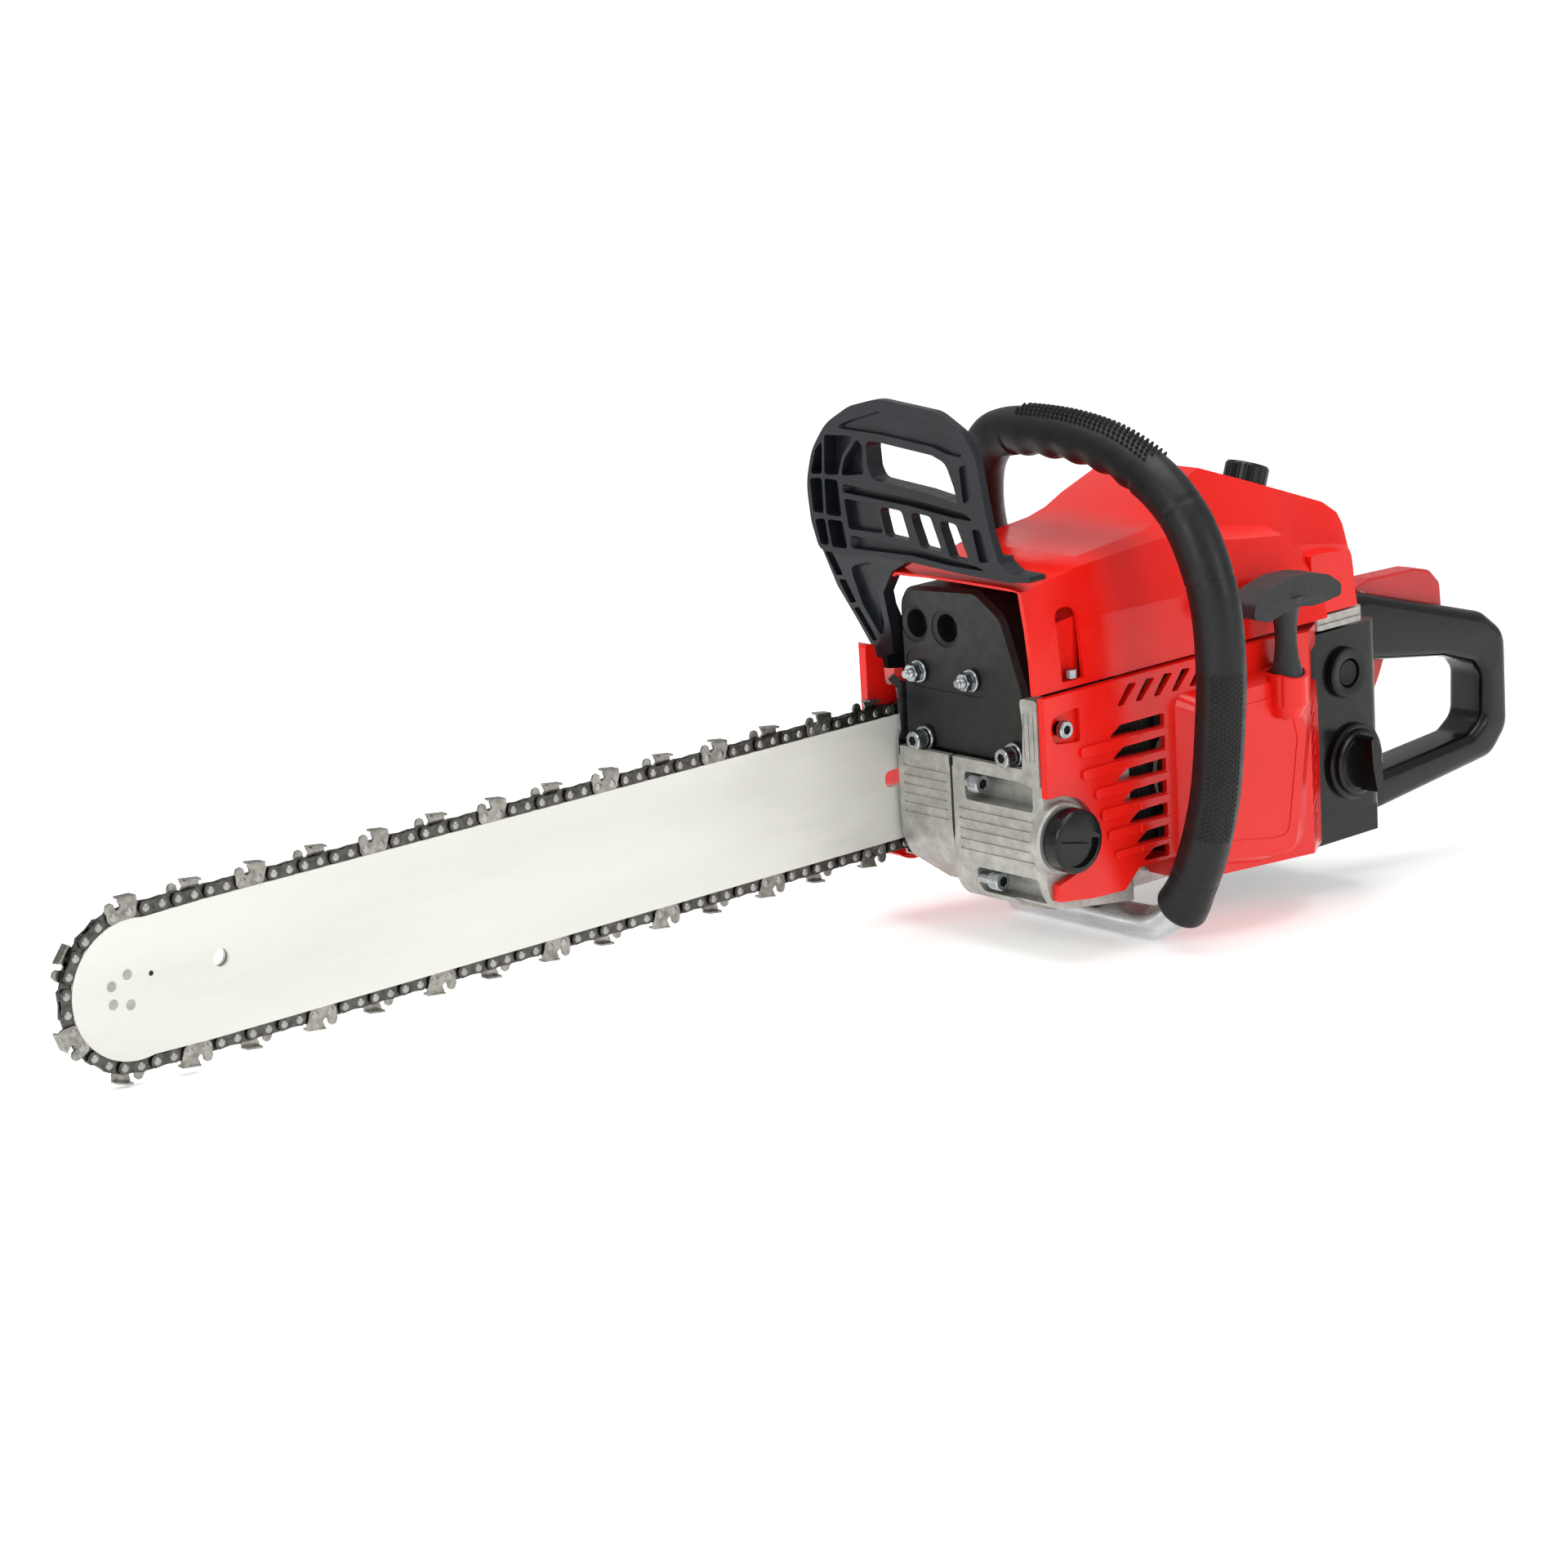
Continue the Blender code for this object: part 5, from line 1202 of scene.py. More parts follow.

# Behind the openings a dark sheet paints the shade inside, and the fan's screen shows in front of it.
back = brick((22, -100.6, -38), (80, -100.1, 36))
piece(to_object("fan_painted_shade_sheet", back), shade_and_joint_black, "powerhead")
screen = [brick((46 + 3.4 * k, -100.9, -36), (46.9 + 3.4 * k, -100.5, 34)) for k in range(10)]
piece(to_object("fan_screen", merge(*screen)), heat_paint, "powerhead", edge=0.15, segments=1)

# %% [markdown]
# The raised panel has a thin lip, where the second half of the mould closed.

# %% Panel lip
# A groove with a raised lip frames the panel, as a second shut line.
lip_outer = rounded([(100, 27), (99.5, -37.5), (141, -44.5), (155, -45.5), (163.5, 4), (157, 27)],
                    [6, 6, 14, 8, 14, 8], 6)
lip_inner = rounded([(101.6, 25.4), (101.1, -36.2), (141.2, -43), (153.6, -44), (161.9, 3.6), (156, 25.4)],
                    [5, 5, 13, 7, 13, 7], 6)
lip = prism("XZ", lip_outer, PANEL_FACE - 0.45, PANEL_FACE + 0.4)
piece(carve("panel_lip", lip, [("-", prism("XZ", lip_inner, PANEL_FACE - 2, PANEL_FACE + 2))]), red_abs,
      "powerhead", edge=0.25, segments=2)

# %% [markdown]
# ## The pull handle
# The starter's T-handle stands on the rope guide. Its grip is lopsided so that two fingers fit one
# side and one the other; the rope is knotted inside it and runs down through the guide.

# %% Pull handle and rope
grip_outline = rounded([(123.8, 70.5), (125.5, 77), (134, 83), (150, 86.6), (166, 85.8), (178, 83.2),
                        (187, 77.5), (187.4, 71.5), (176, 70), (166, 69.6), (157, 71), (146, 69.6),
                        (135, 67)], [4, 5, 8, 10, 10, 6, 4, 3, 5, 4, 4, 5, 5], 6)
grip_block = prism("XZ", grip_outline, -127, -110.6)
neck = lathe("Z", (155, -118.8, 0), [(0, 76), (9.5, 76), (6.6, 68), (5.5, 60), (5.4, 52), (6.2, 44),
                                     (8.0, 37.6), (7.8, 33.8), (0, 33.8)], 40)
pull = carve("pull_grip", grip_block, [("+", neck)])
piece(pull, pull_nylon, "starter_handle", "starter_handle", edge=3.0, segments=5, angle=28)

# %% [markdown]
# The rope is 3.5 mm braided nylon. One end is tied to the guide and the other to the grip, and the
# stretch between them is drawn straight.

# %% The rope
ROPE_RADIUS = 1.75
rope_line = [Vector((155, -118.8, z)) for z in (20, 26, 31, 34.5)]


def rope_shape(line, strands=16):
    """A braided rope: its skin rises and falls as the strands cross."""

    def radius(k, angle):
        return ROPE_RADIUS * (1 + 0.06 * math.cos(6 * angle + 1.3 * k)
                              + 0.04 * math.cos(6 * angle - 1.3 * k))

    return pipe(line, radius, strands)


rope_points = [rope_line[0] + (rope_line[-1] - rope_line[0]) * (k / 80) for k in range(81)]
rope = to_object("pull_rope", rope_shape(rope_points))
rope.data.materials.append(rope_nylon)
rope.data.shade_smooth()
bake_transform(rope)

# %% [markdown]
# ## The muffler
# Two pressed shells of sheet steel, bolted to the engine by two long studs. An oval pressing round
# the nuts keeps the front from drumming, and the two round outlets are above it.

# %% Muffler
muffler_front = rounded([(-4.6, 16), (-4.8, 60), (-4, 94.5), (-58, 98), (-75, 87), (-88, 52), (-90, 15.5)],
                        [4, 12, 11, 12, 12, 14, 4], 8)
muffler_middle = sum((Vector(p) for p in muffler_front), Vector((0, 0))) / len(muffler_front)


def drawn_in(outline, share):
    return [tuple(muffler_middle + (Vector(p) - muffler_middle) * share) for p in outline]


oval = rounded([(-7.5, 46), (-7.5, 65), (-66, 65), (-66, 46)], 9.4, 8)
muffler_steps = [("+", prism("YZ", drawn_in(muffler_front, 0.955), 6.05, 9.2, muffler_front))]
muffler_steps.append(("-", prism("YZ", oval, 3, 7.0)))
muffler_steps.append(("+", prism("YZ", drawn_in(oval, 1.0), 6.6, 8)))
for y in (-15, -36):
    muffler_steps.append(("-", lathe("X", (6.05, y, 77), [(9.2, -1), (9.2, 0.6), (6.9, 1.6), (6.6, 12),
                                                          (0, 12), (0, -1)], 40)))
muffler_steps.append(("-", brick((20, -66, 28), (46, -22, 66))))
shell = piece(carve("muffler_shell", prism("YZ", muffler_front, 9, 59), muffler_steps), heat_paint,
              "powerhead", "muffler", edge=0.8, segments=3, angle=20)
seam = prism("YZ", drawn_in(muffler_front, 1.06), 34, 36.4)
piece(to_object("muffler_seam", seam), heat_paint, "powerhead", edge=0.5, segments=2)

# %% [markdown]
# Nuts are hexagon bars cut off and chamfered by a shallow turned shape, which leaves the familiar
# curved corners. The thread on each stud's tip is drawn as plain rings.

# %% Outlet nuts and stud tips


def hexagon(name, axis, at, height, reach, look, body, *nodes, washer=0.0):
    """A hexagon nut or bolt head with chamfered corners; at is the middle of its outer face."""
    direction = AXES[axis].to_3x3() @ Vector((0, 0, 1))
    domed = [(0, 0), (reach * 0.84, 0), (reach * 1.02, height * 0.16), (reach * 1.02, height + 0.1),
             (0, height + 0.1)]
    made = carve(name, drum(axis, at, height, reach, sides=6), [])
    cap = to_object(name + "_tool", lathe(axis, at, domed, 40))
    keep = made.modifiers.new("chamfer", "BOOLEAN")
    keep.operation = "INTERSECT"
    keep.object = cap
    keep.solver = "EXACT"
    bpy.context.view_layer.update()
    made.data = bpy.data.meshes.new_from_object(made.evaluated_get(bpy.context.evaluated_depsgraph_get()))
    made.modifiers.clear()
    bpy.data.objects.remove(cap)
    if washer:
        disc = lathe(axis, Vector(at) + direction * (height + 0.15),
                     [(0, 0), (washer - 0.4, 0), (washer, 0.4), (washer, 1.1), (0, 1.1)], 40)
        piece(to_object(name + "_washer", disc), look, body, angle=35)
    return piece(made, look, body, *nodes, edge=0.2, segments=2, angle=25)


for label, y in (("left", -17), ("right", -53)):
    hexagon(f"outlet_nut_{label}", "X", (-0.6, y, 54), 4.6, 4.7, zinc, "powerhead", f"muffler_nut_{label}",
            washer=5.6)
    tip = lathe("X", (-4.2, y, 54), [(0, 0), (1.8, 0), (2.4, 0.7), (2.4, 1.1), (2.15, 1.35), (2.4, 1.6),
                                     (2.15, 1.85), (2.4, 2.1), (2.15, 2.35), (2.4, 2.6), (2.15, 2.85),
                                     (2.4, 3.1), (2.4, 8), (0, 8)], 28)
    piece(to_object(f"outlet_stud_{label}", tip), zinc, "powerhead")

# %% [markdown]
# The engine is held together by socket-head screws. Their heads are turned and knurled, with a
# hexagon hole for the key.

# %% Socket-head screws
KNURLS = 24


def cap_screw(name, axis, at, depth, reach, look, body, *nodes):
    """A socket-head screw: a knurled drum with a hexagon hole; at is the middle of its outer face."""
    head = min(depth, 6.4)
    profile = [(0, 0), (reach - 0.5, 0), (reach, 0.5), (reach, head), (reach * 0.6, head + 0.1),
               (reach * 0.6, depth), (0, depth)]
    frame_turn = AXES[axis].to_3x3()
    direction = frame_turn @ Vector((0, 0, 1))
    socket = drum(axis, Vector(at) - direction, 3.6, reach * 0.56, sides=6)
    ridges = []
    for n in range(KNURLS):
        around = Matrix.Rotation(2 * math.pi * n / KNURLS, 3, direction) @ (frame_turn
                                                                            @ Vector((reach + 0.18, 0, 0)))
        ridges.append(("-", drum(axis, Vector(at) + direction * 0.9 + around, head - 1.6, 0.42, sides=6)))
    # A dark hexagon disc down in the key hole is painted shade.
    shade = drum(axis, Vector(at) + direction * 2.2, 0.3, reach * 0.56, sides=6)
    piece(to_object(name + "_socket_shade", shade), shade_and_joint_black, body)
    return piece(carve(name, lathe(axis, at, profile, 48), [("-", socket)] + ridges), look, body, *nodes,
                 angle=25)


for label, y in (("left", -20), ("right", -81)):
    cap_screw(f"flange_screw_{label}", "X", (-4, y, 21.6), 10, 4.6, zinc, "powerhead",
              f"muffler_bolt_{label}")
    ring = lathe("X", (3.2, y, 21.6), [(0, 0), (5.7, 0), (6.1, 0.4), (6.1, 1.6), (0, 1.6)], 40)
    piece(to_object(f"flange_washer_{label}", ring), zinc, "powerhead", angle=35)
cap_screw("long_screw_upper", "Y", (2.5, -61, 4.8), 11, 4.7, zinc, "powerhead", "crankcase_bolt_upper")
cap_screw("long_screw_lower", "Y", (3, -71.5, -41.8), 15, 4.7, zinc, "powerhead", "crankcase_bolt_lower")
cap_screw("cover_cap_screw", "Y", (10, -112, 37), 3.2, 4.3, zinc, "powerhead", "starter_cover_screw")

# %% [markdown]
# ## The crankcase
# Two die-cast halves meet on the engine's centre plane. Their fronts are ribbed to stiffen the
# thin walls, and the left half also holds the bar oil, behind the black cap.

# %% Crankcase
SPLIT = -42.0
right_edge = [(0, 12), (0, -19), *arc((26, -22), 26, 187, 225, 6), (30, -56), (48, -62), (165, -62),
              (165, 36), (62, 36), (62, 12)]
left_edge = [(0, 12), (0, -36), *arc((18, -38), 18, 190, 240, 8), (30, -61), (48, -62), (165, -62),
             (165, 36), (62, 36), (62, 12)]
oil_edge = [(0, 12), (0, -34), *arc((18, -36), 18, 190, 240, 8), (58, -58), (58, 12)]

def hole_tools():
    return [("-", drum("Y", (CRANK_X, SPLIT - 24, 0), 48, 31)), ("-", drum("Y", (CRANK_X, -90, 0), 100, 8)),
            ("-", drum("Z", (CRANK_X, SPLIT, 10), 40, 24.5))]


right_steps = [("+", brick((-0.02, -40.6, 11), (3.4, -6.5, 16.8)))]
right_steps.append(("+", prism("XZ", rounded([(12, -12), (64, -12), (64, 12), (12, 12)], 4), -6, -2.6)))
for k in range(6):
    right_steps.append(("-", brick((-1, -38.6, 7.2 - 4.6 * k), (0.55, -8.5, 8.4 - 4.6 * k))))
right_steps += hole_tools()
piece(carve("case_right", prism("XZ", right_edge, SPLIT + 0.15, -5.0), right_steps), cast_metal, "powerhead",
      "crankcase_right_half", edge=0.7, segments=3, angle=22)

# %% [markdown]
# The left half is deeper, because it holds the bar oil, and its front has two pockets that let a key
# reach the long screws. A paper gasket shows as a dark line between the halves.

# %% Left half and gasket
left_steps = [("+", prism("XZ", oil_edge, -104, -77)), ("+", prism("YZ",
                                                                   rounded([(-104, 10), (-92, 10),
                                                                            (-94.5, 38), (-92.6, 52),
                                                                            (-104, 52)], [1, 1, 6, 3, 2],
                                                                           4), -1.9, 7)),
              ("+", brick((-0.02, -101.5, 11), (3.4, -43.4, 16.8))),
              ("+", lathe("Y", (9, -108.4, -16), [(0, 0), (16.8, 0), (17.6, 1.2), (17.6, 6), (0, 6)], 56)),
              ("-", drum("Y", (9, -112, -16), 12, 7.5)), ("-",
                                                          prism("YZ",
                                                                rounded([(-97, -3.5), (-51, -3.5),
                                                                         (-51, 10.5), (-97, 10.5)], 2.5),
                                                                -5, 11.8)),
              ("-", prism("YZ", rounded([(-99, -49), (-57, -49), (-57, -36), (-99, -36)], 2.5), -5, 12.8))]
for k in range(5):
    left_steps.append(("-", brick((-1, -97, -8.5 - 5.0 * k), (0.6, -46.5, -7.2 - 5.0 * k))))
for k in range(3):
    left_steps.append(("-", brick((-4, -102.0 + 3.2 * k, 22), (-1.5, -101.3 + 3.2 * k, 45))))
left_steps += hole_tools()
piece(carve("case_left", prism("XZ", left_edge, -78, SPLIT - 0.15), left_steps), cast_metal, "powerhead",
      "crankcase_left_half", edge=0.7, segments=3, angle=22)
gasket = prism("XZ", [(-0.5, 15.5), (-0.5, -19), (0.6, -30), (5, -44), (14, -53), (30, -60), (30, -54),
                      (12, -44), (4, -20), (4, 15.5)], SPLIT - 0.6, SPLIT + 0.6)
piece(to_object("case_gasket", gasket), shade_and_joint_black, "powerhead", edge=0.2, segments=1)

# %% [markdown]
# ## Caps and knobs
# The oil cap is turned with a tool in its slot; the fuel cap has a wing for bare fingers. The knob
# that holds the cylinder cover is fluted, so a glove can undo it.

# %% Oil cap
half_moon = arc((9, -16), 12.4, 190, 350, 20)
tool_slot = moved(brick((-12.6, -2, -1.5), (12.6, 2.4, 1.5)), leaned((9, -118.5, -15.2), "Y", 12))
oil_steps = [("-", prism("XZ", rounded(half_moon, 0.6, 1), -120, -116.3)), ("-", tool_slot)]
oil_profile = [(0, 0), (13.6, 0), (14.9, 0.5), (15.5, 1.5), (15.5, 8.0), (14.8, 8.6), (14.8, 9.7), (0, 9.7)]
piece(carve("oil_cap_face", lathe("Y", (9, -118.5, -16), oil_profile, 72), oil_steps), tank_nylon,
      "oil_cap", "oil_cap", edge=0.5, segments=3, angle=25)

# %% [markdown]
# The fuel cap has a tapered wing across it, drafted so that it leaves the mould.

# %% Fuel cap
wing_top = rounded([(-2.4, -14.5), (2.4, -14.5), (3.4, 0), (2.4, 14.5), (-2.4, 14.5), (-3.4, 0)],
                   [2, 2, 6, 2, 2, 6], 4)
WING_DRAFT = 1.35
wing = prism("XZ", wing_top, -10.5, 1, [(x * WING_DRAFT, z) for x, z in wing_top])
wing = moved(wing, leaned((236, -94, -28), "Y", -8))
cap_profile = [(0, 0), (13, 0), (13.6, 0.5), (15.2, 0.5), (16.6, 1.2), (17, 2.2), (17, 6.2), (0, 6.2)]
piece(carve("fuel_cap_face", lathe("Y", (236, -94.5, -28), cap_profile, 72), [("+", wing)]), tank_nylon,
      "fuel_cap", "fuel_cap", edge=0.7, segments=3, angle=25)

# %% [markdown]
# The knob stands square on the sloping cover, so it is turned and fluted upright and then leaned.

# %% Cover knob
KNOB_AT = Vector((207, -46, 115.1))
KNOB_LEAN = math.degrees(math.atan2(32.5, 89))
knob_steps = []
FLUTES = 18
for n in range(FLUTES):
    turn = 2 * math.pi * n / FLUTES
    flute = drum("Z", (11.9 * math.cos(turn), 11.9 * math.sin(turn), 0), 14, 1.35, sides=14)
    knob_steps.append(("-", moved(flute, leaned(KNOB_AT, "Y", KNOB_LEAN))))
knob_profile = [(0, -14), (3.8, -14), (3.8, 0.8), (10.6, 0.8), (11.2, 1.5), (11.2, 9.2), (10.2, 10.6),
                (8.4, 10.9), (7.6, 10.3), (0, 10.0)]
knob = moved(lathe("Z", (0, 0, 0), knob_profile, 72), leaned(KNOB_AT, "Y", KNOB_LEAN))
piece(carve("fluted_knob", knob, knob_steps), tank_nylon, "cover_knob", "cover_knob", edge=0.3, segments=2,
      angle=30)
seat = moved(lathe("Z", (0, 0, 0), [(4.3, -1.6), (13.8, -1.6), (14.6, -0.6), (14.6, 0.2), (13.8, 0.6),
                                    (4.3, 0.6)], 56), leaned(KNOB_AT, "Y", KNOB_LEAN))
piece(to_object("knob_seat", seat), red_abs, "powerhead", angle=35)

# %% [markdown]
# ## Tank, tray and rear handle
# The fuel tank and the rear handle are one black housing hung from the engine by rubber mounts, so
# the hands are spared the shaking. The trigger only moves when the palm holds the red lever down.

# %% Tank and grommet
HANDLE_Y = -48.0
tank_floor = rounded([(206.5, -88), (258, -88), (258, 8), (170, 8), (170, -76), (206.5, -76)],
                     [3, 8, 10, 8, 4, 3], 6)
tank_steps = [("+", brick((62, -62, -65.7), (175, -14, -62.3))), ("+", brick((153, 2, 14), (176, 52, 23)))]
tank_steps += [("-", brick((176, -70, -62), (252, 2, 22))), ("-", drum("Y", (236, -95, -28), 30, 10)),
               ("-", prism("XY", rounded([(214, -83), (252, -83), (252, -60), (214, -60)], 4), 30, 50)),
               ("-", prism("XZ", [(200, -70), (262, -70), (262, -55), (232, -52), (200, -59.5)], -90,
                           -86.6))]
tank_steps.append(("+", lathe("Y", (236, -91.4, -28), [(10.2, 0), (18.5, 0), (19.6, 1), (19.6, 5),
                                                       (10.2, 5)], 64)))
piece(carve("tank_housing", prism("XY", tank_floor, -68, 42), tank_steps), tank_nylon, "powerhead",
      "fuel_tank", edge=1.8, segments=4, angle=24)
grommet = lathe("Y", (231, -92, 19), [(7.6, 0.4), (8.4, 0), (12.2, 0), (13, 0.8), (13, 3.6), (7.6, 3.6)], 56)
piece(to_object("grommet_ring", grommet), grip_rubber, "powerhead", "mount_grommet", angle=35)
# The spigot in the grommet's middle is dark with painted shade.
spigot = lathe("Y", (231, -91, 19), [(0, 1.2), (4.6, 1.0), (5.4, 0.2), (6.2, 0.2), (6.6, 1.4), (6.6, 3),
                                     (0, 3)], 40)
piece(to_object("grommet_spigot_shade", spigot), shade_and_joint_black, "powerhead", angle=35)

# %% [markdown]
# The rear handle is one thick loop with generously rounded rims, so it is built up in layers whose
# outlines step in near both faces. The hole is cut by a shape that swells at the faces instead.

# %% Rear handle


def inset(outline, distance):
    """Moves an outline drawn clockwise in (or out, if negative) by a distance."""
    moved_in = []
    for k, here in enumerate(outline):
        along = (Vector(outline[(k + 1) % len(outline)]) - Vector(outline[k - 1])).normalized()
        moved_in.append((here[0] + along.y * distance, here[1] - along.x * distance))
    return moved_in


def pillow(outline, low, high, radius, swell, reach=0.0):
    """A flat outline given depth whose two rims turn over a radius; a hole's cutter swells there instead."""
    turns = [math.radians(a) for a in (0, 18, 36, 54, 72, 90)]
    near = [(low + radius * (1 - math.cos(t)), swell * radius * (1 - math.sin(t))) for t in turns]
    layers = near + [(low + high - y, d) for y, d in reversed(near)]
    if reach:
        layers = [(low - reach, layers[0][1])] + layers + [(high + reach, layers[-1][1])]
    shape = bmesh.new()
    rings = [[shape.verts.new((x, y, z)) for x, z in inset(outline, d)] for y, d in layers]
    for one, two in zip(rings, rings[1:]):
        for k in range(len(one)):
            shape.faces.new((one[k - 1], one[k], two[k], two[k - 1]))
    shape.faces.new(rings[0])
    shape.faces.new(rings[-1])
    bmesh.ops.recalc_face_normals(shape, faces=shape.faces)
    return shape


HANDLE_NEAR, HANDLE_FAR = HANDLE_Y - 16, HANDLE_Y + 11
handle_outer = rounded([(258.6, 50), (281, 47.5), (372, 21), (389, 8), (389.5, -44), (376, -58), (286, -68),
                        (258.6, -64)], [14, 14, 18, 16, 16, 16, 16, 14], 5)
handle_hole = rounded([(268, 14), (300, 9), (340, 3), (364, -5), (370, -12), (369, -36), (358, -43),
                       (278, -49), (268, -44)], [8, 8, 10, 8, 8, 8, 10, 8, 8], 4)
levers = [(277, 26), (352, 12), (362, 30), (362, 60), (277, 60)]
handle_steps = [("-", pillow(handle_hole, HANDLE_NEAR, HANDLE_FAR, 5.0, -1, 5)),
                ("-", prism("XZ", levers, HANDLE_Y - 7.5, HANDLE_Y + 7.5)),
                ("-", prism("XZ", [(268, 0), (306, 0), (306, 22), (268, 34)], HANDLE_Y - 7.5,
                            HANDLE_Y + 7.5))]
piece(carve("rear_handle_grip", pillow(handle_outer, HANDLE_NEAR, HANDLE_FAR, 6.0, 1), handle_steps),
      tank_nylon, "powerhead", "rear_handle", edge=0.6, segments=2, angle=50)

# %% [markdown]
# Both levers are flat mouldings with soft edges. The palm lever has a steel pin at its front, and the
# trigger hangs inside the loop where the first finger finds it.

# %% Palm lever and trigger
lever = rounded([(279, 50.6), (290, 52.8), (326, 51.8), (338, 49), (346, 41), (347, 27.4), (300, 35),
                 (281, 40)], [3, 4, 6, 8, 6, 2, 3, 3], 6)
piece(to_object("palm_lever", prism("XZ", lever, HANDLE_Y - 6.5, HANDLE_Y + 6.5)), red_lever,
      "throttle_lockout", "throttle_lockout", edge=2.2, segments=4, angle=40)
pin = lathe("Y", (284, HANDLE_Y - 7.2, 45), [(0, 0), (2.0, 0), (2.5, 0.5), (2.5, 13.9), (2.0, 14.4),
                                             (0, 14.4)], 32)
piece(to_object("lever_pin", pin), machined, "throttle_lockout")
trigger = rounded([(271, 29), (300, 20), (301, 8), (297, 0), (292, -8), (286, -13.6), (283, -8), (284, 2),
                   (280, 8), (271, 12)], [2, 2, 4, 6, 4, 2.5, 3, 6, 4, 3], 6)
piece(to_object("trigger_blade", prism("XZ", trigger, HANDLE_Y - 6, HANDLE_Y + 6)), red_lever,
      "throttle_trigger", "throttle_trigger", edge=1.6, segments=4, angle=40)

# %% [markdown]
# A cast tray closes the top of the tank bay and carries the carburettor. Only its edge shows.

# %% Carburettor tray
tray = rounded([(208, -92), (243, -92), (243, 8), (168, 8), (168, -76), (208, -76)], [3, 5, 5, 3, 3, 2], 5)
tray_steps = [("-", prism("XY", rounded([(212, -88), (239, -88), (239, -64), (212, -64)], 3), 49, 55)),
              ("-", brick((206, -94, 47.4), (245, -91.2, 48.6)))]
piece(carve("cast_tray", prism("XY", tray, 44.5, 52), tray_steps), cast_metal, "powerhead",
      "carburettor_tray", edge=0.8, segments=3, angle=25)

# %% [markdown]
# ## The clutch cover
# The red cover on the bar's side guards the clutch and clamps the bar with two nuts. Its front
# rises in a ridge that keeps chips off the guard's arm.

# %% Clutch cover
clutch_edge = rounded([(-8.6, 24), (-8.2, 66.5), (-2.5, 66), (-0.8, 59), (3, 58), (4, 44), (60, 44),
                       (112, 40), (130, 30), (151, 10), (152, -26), (120, -44), (10, -46), (-12, -20)],
                      [8, 2, 2, 2, 2, 4, 2, 8, 8, 8, 20, 12, 20, 14], 8)
clutch_hollow = rounded([(-14, 26), (16, 41), (60, 41), (111, 37.4), (128, 28), (148, 9), (149, -25),
                         (119, -41), (10, -43), (-20, -30)], 4, 3)
clamp_pad = rounded([(12, -11), (60, -11), (60, 11), (12, 11)], 4)
pivot_boss = rounded([(24, 43), (48, 43), (43, 58), (39, 62), (33, 62), (29, 58)], [0, 0, 3, 3, 3, 3], 4)
front_slant = [(-30, 9.5), (-9, 9.5), (18.6, 39.5), (18.6, 45), (-30, 45)]
clutch_steps = [("-", prism("XZ", clutch_hollow, -10, 35.5)),
                ("+", prism("XZ", clamp_pad, 2.6, 36)),
                ("+", prism("XZ", pivot_boss, 16.3, 22)),
                ("-", prism("XY", front_slant, -60, 70)),
                ("-", drum("Y", (36, 10, 54), 20, 3.3))]
clutch_steps += [("-", drum("Y", (x, -5, 0), 60, 4.3)) for x in (24, 50)]
clutch_steps += [("-", prism("XZ", rounded([(4, -13), (70, -13), (70, 13), (4, 13)], 8, 6), 37.0, 42)),
                 ("-", prism("XZ", rounded([(84, -28), (140, -24), (140, 2), (118, 24), (84, 30)], 6, 5),
                             37.4, 42))]
for k in range(5):
    clutch_steps.append(("-", brick((20 + 14 * k, 36.5, 26), (27 + 14 * k, 42, 35))))
piece(carve("clutch_shell", prism("XZ", clutch_edge, 5.5, 38.3), clutch_steps), red_abs, "powerhead",
      "clutch_cover", edge=1.6, segments=4, angle=24)
for label, x in (("front", 24), ("rear", 50)):
    hexagon(f"clamp_nut_{label}", "Y", (x, 38.6, 0), 7.4, 7.4, zinc, "powerhead", f"bar_nut_{label}")
print(len(made_pieces), "pieces made")

# %% [markdown]
# ## Floor, light and camera
# The saw rests on the handle's tube and on its nose, so the floor meets both. Three large soft
# lamps stand in for a light tent, which is how such a shiny red thing is lit without hard glare.

# %% Floor
# The floor paint glows: painted light that keeps it white and brightens the saw's undersides.
floor, tree, shader, place = start("glowing_floor_paint", Emission_Color=colour("#F4F4F4"),
                                   Emission_Strength=0.4)
tone = add(tree, "TexNoise", Vector=place, Scale=per_mm(300), Detail=3.0)
add(tree, "ValToRGB", "Base Color", Fac=tone, stops=((0.3, "#F0F0EF"), (0.7, "#F4F4F3")))
wear = add(tree, "TexNoise", Vector=place, Scale=per_mm(4), Detail=4.0)
add(tree, "MapRange", "Roughness", Value=wear, From_Min=0.3, From_Max=0.7, To_Min=0.55, To_Max=0.7)
grain = add(tree, "TexNoise", Vector=place, Scale=per_mm(1.5), Detail=3.0)
add(tree, "Bump", "Normal", Height=grain, Distance=0.02 * MM, Strength=0.3)
# The glow is stronger further back, painted light that makes the paper sweep fade to white behind the saw.
distance = add(tree, "VectorMath", settings={"operation": "LENGTH"}, Vector=place).outputs["Value"]
add(tree, "MapRange", "Emission Strength", Value=distance, From_Min=0.5, From_Max=3.0, To_Min=0.4,
    To_Max=0.78)
FLOOR_TILT = math.radians(4.6)
tube_foot = Vector(((HANDLE_X * MM + DATUM.x), 0, -0.0003))
ground_mesh = bpy.data.meshes.new("ground")
ground_shape = bmesh.new()
bmesh.ops.create_grid(ground_shape, x_segments=1, y_segments=1, size=24.0)
ground_shape.to_mesh(ground_mesh)
ground_shape.free()
ground = bpy.data.objects.new("ground", ground_mesh)
bpy.context.scene.collection.objects.link(ground)
ground.location = tube_foot
ground.rotation_euler = (0, FLOOR_TILT, 0)
ground.data.materials.append(floor)

# %% [markdown]
# Large lamps give soft edges to every highlight. The weak white surroundings fill the shadows, as
# the walls of a light tent do.

# %% Lamps and surroundings


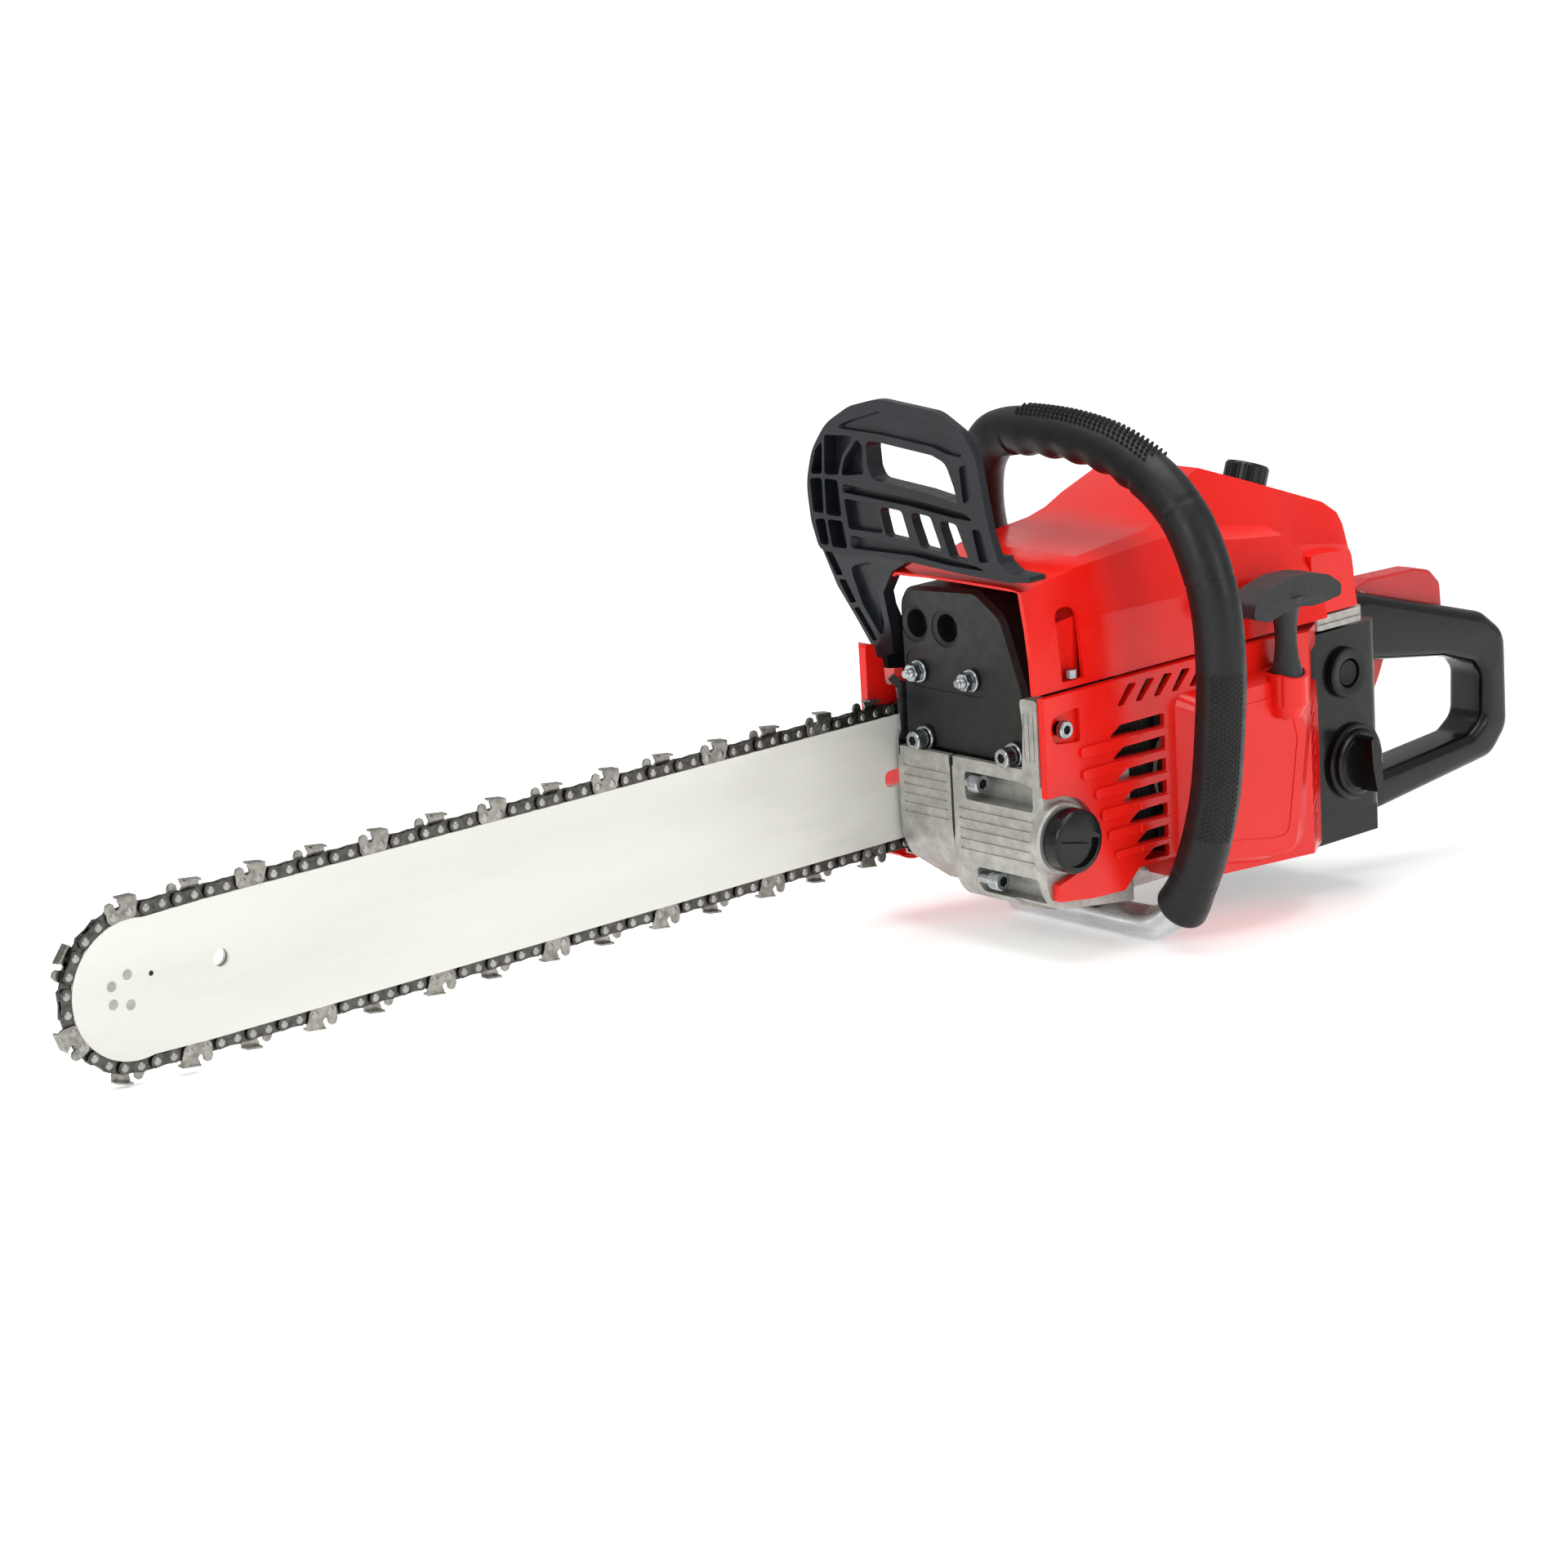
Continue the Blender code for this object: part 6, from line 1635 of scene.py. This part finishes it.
def lamp(name, at, towards, size, power):
    """A square soft lamp, placed in metres and aimed at a point."""
    data = bpy.data.lights.new(name, "AREA")
    data.shape = "RECTANGLE"
    data.size, data.size_y = size
    data.energy = power
    made = bpy.data.objects.new(name, data)
    made.location = at
    made.rotation_euler = (Vector(towards) - Vector(at)).to_track_quat("-Z", "Y").to_euler()
    bpy.context.scene.collection.objects.link(made)


middle = Vector((0.05, -0.02, 0.12))
lamp("overhead_tent", (0.1, 0.1, 1.9), middle, (1.8, 1.8), 32)
lamp("left_tent", (-1.8, -0.5, 1.1), middle, (0.9, 1.2), 12)
lamp("right_tent", (0.7, -2.1, 0.9), middle, (0.9, 1.2), 11)

world = bpy.data.worlds.new("light_tent")
bpy.context.scene.world = world
world.use_nodes = True
world.node_tree.nodes["Background"].inputs["Color"].default_value = colour("#F4F4F3")
world.node_tree.nodes["Background"].inputs["Strength"].default_value = 0.55

# %% [markdown]
# The camera looks down a little from ahead and to the left, with a long lens, so that the bar
# does not balloon towards the eye.

# %% Camera
CAMERA_AT = Vector((-1406.9, -1547.8, 524.5))
YAW, PITCH, ROLL = math.radians(-40.82), math.radians(14.09), math.radians(-3.46)
forward = Vector((-math.sin(YAW) * math.cos(PITCH), math.cos(YAW) * math.cos(PITCH), -math.sin(PITCH)))
level = forward.cross(Vector((0, 0, 1))).normalized()
upright = level.cross(forward)
right = level * math.cos(ROLL) + upright * math.sin(ROLL)
upward = upright * math.cos(ROLL) - level * math.sin(ROLL)
lens = bpy.data.cameras.new("camera")
lens.lens = 101.66
lens.sensor_width = 36.0
lens.clip_end = 50.0
camera = bpy.data.objects.new("camera", lens)
camera.matrix_world = Matrix.Translation(TO_FRAME @ CAMERA_AT) @ Matrix((right, upward,
                                                                         -forward)).transposed().to_4x4()
bpy.context.scene.collection.objects.link(camera)
bpy.context.scene.camera = camera
bpy.context.scene.view_settings.view_transform = "Standard"

# %% [markdown]
# Last, the scene is brought up to date.

# %% Last update
bpy.context.view_layer.update()
